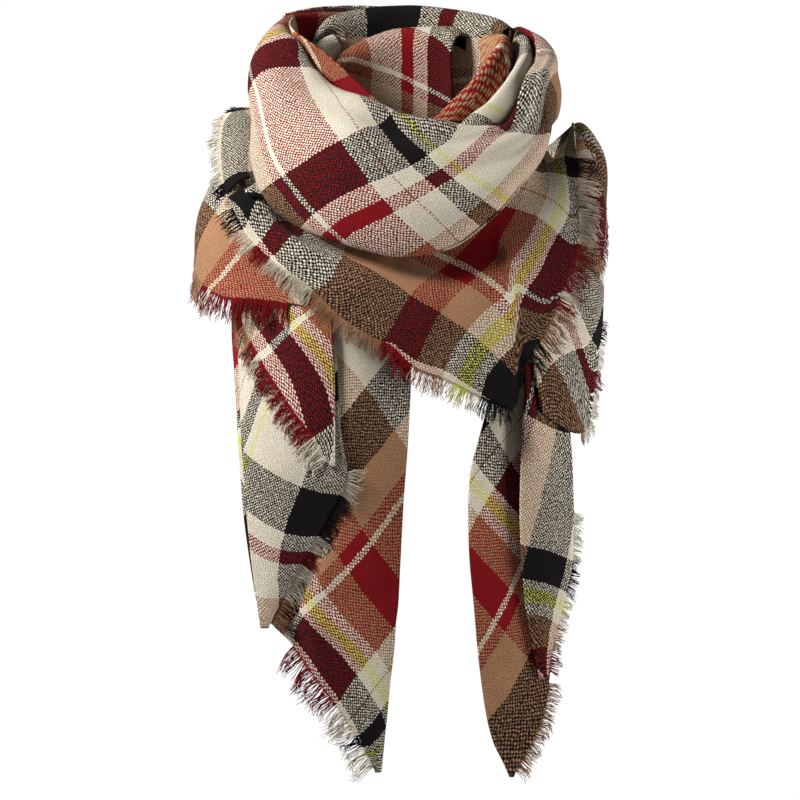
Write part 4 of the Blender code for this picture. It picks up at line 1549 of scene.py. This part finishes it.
@dataclass
class NeckWindings:
    """The turns inside the neck, from the neck outwards, and the crossing at the nape."""

    inner_wrap: Stretch = wound("neck_inner_wrap", NECK_INNER_WRAP)
    left_fold: Stretch = wound("neck_left_fold", NECK_LEFT_FOLD, ("neck_inner_wrap",))
    inner_roll: Stretch = wound("roll_right_inner", ROLL_RIGHT_INNER, ("neck_inner_wrap",), need=WALL + 0.2)
    back_band: Stretch = wound(
        "neck_back_band", NECK_BACK_BAND, ("neck_inner_wrap", "neck_left_fold", "roll_right_inner")
    )
    middle_roll: Stretch = wound(
        "roll_right_middle", ROLL_RIGHT_MIDDLE, ("roll_right_inner", "neck_back_band")
    )
    rim_turn: Stretch = wound("rim_turn_left", RIM_TURN_LEFT, ("neck_left_fold", "neck_back_band"))
    nape: Stretch = wound(
        "nape_wrap",
        NAPE_WRAP,
        ("neck_back_band", "shoulder_right", "bib_under_left", "cowl_front"),
        last_part=0.3,
    )

    def inside(self) -> list[Stretch]:
        """The turns that the swag lies on, in the order in which they settle."""
        inner = [self.inner_wrap, self.left_fold, self.inner_roll]
        return [*inner, self.back_band, self.middle_roll, self.rim_turn]

    def outside(self) -> list[Stretch]:
        """The crossing that lies on the swag's end."""
        return [self.nape]


@dataclass
class FrontSwag:
    """The thick swag at the front of the neck, which hangs over the top of the bib."""

    swag: Stretch = wound(
        "cowl_front",
        COWL_FRONT,
        ("bib", "bib_under_left", "roll_right_middle", "rim_turn_left", "neck_left_fold", "neck_back_band"),
        COWL_CREASES,
    )

    def stretches(self) -> list[Stretch]:
        """The swag."""
        return [self.swag]


@dataclass
class ChestCorner:
    """The folded corner over the chest, what shows beneath it and its edges over the shoulders."""

    under_left: Stretch = wound(
        "bib_under_left", BIB_UNDER_LEFT, ("tail_left_back", "tail_left_flap", "tail_left_top")
    )
    under_right: Stretch = wound(
        "bib_under_right", BIB_UNDER_RIGHT, ("tail_right_back", "tail_right_flap"), need=WALL + GAP + 0.4
    )
    shoulder_right: Stretch = wound(
        "shoulder_right",
        SHOULDER_RIGHT,
        ("bib_under_right", "tail_right_back", "tail_right_flap"),
        need=WALL + GAP + 0.3,
    )
    bib: Stretch = wound("bib", BIB, CHEST_BELOW, BIB_CREASES, corner=34.0)
    shoulder_left: Stretch = wound("shoulder_left", SHOULDER_LEFT, ("bib", "cowl_front", "bib_under_left"))

    def beneath(self) -> list[Stretch]:
        """What the bib lies on, in the order in which they settle."""
        return [self.under_left, self.under_right, self.shoulder_right]


@dataclass
class LongEnd:
    """One long end of the scarf, in its layers from the back forwards."""

    layers: tuple[Stretch, ...]

    @classmethod
    def left(cls) -> "LongEnd":
        """The end that hangs on the left.

        Returns:
            The end, with its three layers.
        """
        back = Panel("tail_left_back", TAIL_LEFT_BACK, (), TAIL_LEFT_CREASES)
        flap = Panel("tail_left_flap", TAIL_LEFT_FLAP, (back.node,))
        top = Panel("tail_left_top", TAIL_LEFT_TOP, (flap.node, back.node))
        for layer in (back, flap, top):
            layer.held = Hold.HUNG
        return cls((back, flap, top))

    @classmethod
    def right(cls) -> "LongEnd":
        """The end that hangs on the right.

        Returns:
            The end, with its two layers.
        """
        back = Panel("tail_right_back", TAIL_RIGHT_BACK, (), TAIL_RIGHT_CREASES)
        flap = Panel("tail_right_flap", TAIL_RIGHT_FLAP, (back.node,), FLAP_RIGHT_CREASES)
        for layer in (back, flap):
            layer.held = Hold.HUNG
        return cls((back, flap))


FIRST, SECOND = YarnSet.FIRST, YarnSet.SECOND
HEM, LEFT, RIGHT = Side.HEM, Side.LEFT, Side.RIGHT
LEFT_BELOW_TOP, LEFT_BELOW_FLAP, RIGHT_BELOW_FLAP = LEFT_LAYERS[:2], LEFT_LAYERS[:1], RIGHT_LAYERS[:1]
FRINGES = (
    # node, stretch, side, part of the side, yarns, length, seed
    Fringe("fringe_bib_left", "bib", HEM, (0.02, 0.70), FIRST, 15, 1, over=CHEST_BELOW),
    Fringe("fringe_bib_right", "bib", HEM, (0.71, 0.97), SECOND, 20, 2, over=CHEST_BELOW),
    Fringe(
        "fringe_shoulder_left", "shoulder_left", HEM, (0, 1), FIRST, 12, 3, over=("bib_under_left", "bib")
    ),
    Fringe("fringe_under_left", "bib_under_left", HEM, (0.6, 0.97), SECOND, 19, 4, over=LEFT_LAYERS),
    Fringe("fringe_under_right", "bib_under_right", HEM, (0.5, 1), FIRST, 11, 5, over=RIGHT_LAYERS),
    Fringe(
        "fringe_shoulder_right", "shoulder_right", HEM, (0.08, 0.5), FIRST, 10, 11, over=("bib_under_right",)
    ),
    Fringe("fringe_tail_left_top", "tail_left_top", LEFT, (0.2, 0.99), SECOND, 18, 6, over=LEFT_BELOW_TOP),
    Fringe(
        "fringe_tail_left_flap", "tail_left_flap", RIGHT, (0.52, 0.99), FIRST, 16, 7, over=LEFT_BELOW_FLAP
    ),
    Fringe("fringe_tail_left_back", "tail_left_back", LEFT, (0.73, 0.99), SECOND, 21, 8),
    Fringe(
        "fringe_tail_right_flap", "tail_right_flap", RIGHT, (0.55, 0.99), FIRST, 10, 9, over=RIGHT_BELOW_FLAP
    ),
    Fringe("fringe_tail_right_back", "tail_right_back", RIGHT, (0.80, 0.99), FIRST, 12, 10),
)


@dataclass(frozen=True)
class Studio:
    """The camera, the soft light, the plain floor and the white wall."""

    target: tuple[float, float, float] = (-0.0045, -0.130, -0.189)
    distance: float = 5.0
    elevation: float = 8.0
    lens: float = 250.0
    floor: float = -2.6
    wall: float = 8.0  # how far behind the scarf the wall stands
    surround: float = 0.11
    lamps: tuple[tuple[str, float, float, tuple[float, float, float]], ...] = (
        ("key", 56.0, 0.45, (-1.35, -0.70, 0.95)),
        ("fill", 22.0, 0.6, (1.50, -0.40, -0.45)),
    )

    def camera(self) -> None:
        """Sets the camera in front of the scarf, a little above it."""
        data = bpy.data.cameras.new("camera")
        data.lens = self.lens
        data.sensor_width = SENSOR
        data.clip_end = 200.0
        camera = link_new("camera", data)
        tilt = math.radians(self.elevation)
        back = mathutils.Vector((0.0, -math.cos(tilt), math.sin(tilt)))
        camera.location = mathutils.Vector(self.target) + back * self.distance
        camera.rotation_mode = "QUATERNION"
        camera.rotation_quaternion = (-back).to_track_quat("-Z", "Y")
        bpy.context.scene.camera = camera

    def lights(self) -> None:
        """Adds a dim even surround and a soft lamp high on each side, the left one the stronger."""
        world = bpy.data.worlds.new("surround")
        world.use_nodes = True
        world.node_tree.nodes["Background"].inputs["Color"].default_value = (1.0, 1.0, 1.0, 1.0)
        world.node_tree.nodes["Background"].inputs["Strength"].default_value = self.surround
        bpy.context.scene.world = world
        aim = mathutils.Vector((0.0, -0.12, -0.05))
        for name, power, size, place in self.lamps:
            data = bpy.data.lights.new(name, "AREA")
            data.energy = power
            data.size = size
            light = link_new(name, data)
            light.location = place
            light.rotation_mode = "QUATERNION"
            light.rotation_quaternion = (aim - mathutils.Vector(place)).to_track_quat("-Z", "Y")
        bpy.context.scene.view_settings.view_transform = "Standard"

    def stage(self) -> None:
        """Lays a wide pale floor well below the scarf and stands a bright white wall far behind it."""
        half, low, far, high, side = 60.0, self.floor, self.wall, 6.0, 8.0
        floor = [(-half, -half, low), (half, -half, low), (half, half, low), (-half, half, low)]
        wall = [(-side, far, low), (side, far, low), (side, far, high), (-side, far, high)]
        self._plane("floor", floor, self._pale())
        self._plane("wall", wall, self._white())

    @staticmethod
    def _plane(name: str, corners: list[tuple], material: bpy.types.Material) -> bpy.types.Object:
        """One flat face.

        Args:
            name: what the face is called.
            corners: its four corners.
            material: its finish.

        Returns:
            The face.
        """
        mesh = bpy.data.meshes.new(name)
        mesh.from_pydata(corners, [], [(0, 1, 2, 3)])
        mesh.materials.append(material)
        return link_new(name, mesh)

    @staticmethod
    def _pale() -> bpy.types.Material:
        """The finish of the floor.

        Returns:
            The material.
        """
        material = bpy.data.materials.new("pale_floor")
        material.use_nodes = True
        graph = Graph(material.node_tree)
        place = graph.add("ShaderNodeTexCoord", {}, {}).outputs["Object"]
        tone = graph.signal("ShaderNodeTexNoise", {}, {"Vector": place, "Scale": 0.4, "Detail": 2.0})
        colour = graph.blend(tone, (0.93, 0.93, 0.93, 1.0), (0.95, 0.95, 0.95, 1.0))
        shader = material.node_tree.nodes["Principled BSDF"]
        graph.feed(shader.inputs["Base Color"], colour)
        graph.feed(shader.inputs["Roughness"], 0.95)
        return material

    @staticmethod
    def _white() -> bpy.types.Material:
        """The finish of the wall, which glows evenly.

        Returns:
            The material.
        """
        material = bpy.data.materials.new("white_wall")
        material.use_nodes = True
        shader = material.node_tree.nodes["Principled BSDF"]
        shader.inputs["Base Color"].default_value = (0.0, 0.0, 0.0, 1.0)
        shader.inputs["Specular IOR Level"].default_value = 0.0
        shader.inputs["Emission Color"].default_value = (1.0, 1.0, 1.0, 1.0)
        shader.inputs["Emission Strength"].default_value = 1.02
        return material


def main() -> None:
    """Builds the studio and the scarf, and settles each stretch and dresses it."""
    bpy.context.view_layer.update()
    studio = Studio()
    studio.camera()
    studio.lights()
    studio.stage()
    finishes = {
        kind: BrushedPlaid(f"plaid_{kind.value}", kind).material()
        for kind in (YarnSet.WOVEN, YarnSet.FIRST, YarnSet.SECOND)
    }
    loom = Loom(5.0, finishes[YarnSet.WOVEN], finishes, Strands())
    neck, swag, chest = NeckWindings(), FrontSwag(), ChestCorner()
    ends = [*LongEnd.left().layers, *LongEnd.right().layers]
    stretches = [
        *neck.inside(),
        *ends,
        *chest.beneath(),
        chest.bib,
        *swag.stretches(),
        *neck.outside(),
        chest.shoulder_left,
    ]
    for stretch in stretches:
        loom.settle(stretch)
        log.info("settled %s", stretch.node)
    strands = {fringe.node: (fringe.stretch, loom.fray(fringe)) for fringe in FRINGES}
    for stretch in stretches:
        loom.piece(stretch, [made for owner, made in strands.values() if owner == stretch.node])


if __name__ == "__main__":
    main()
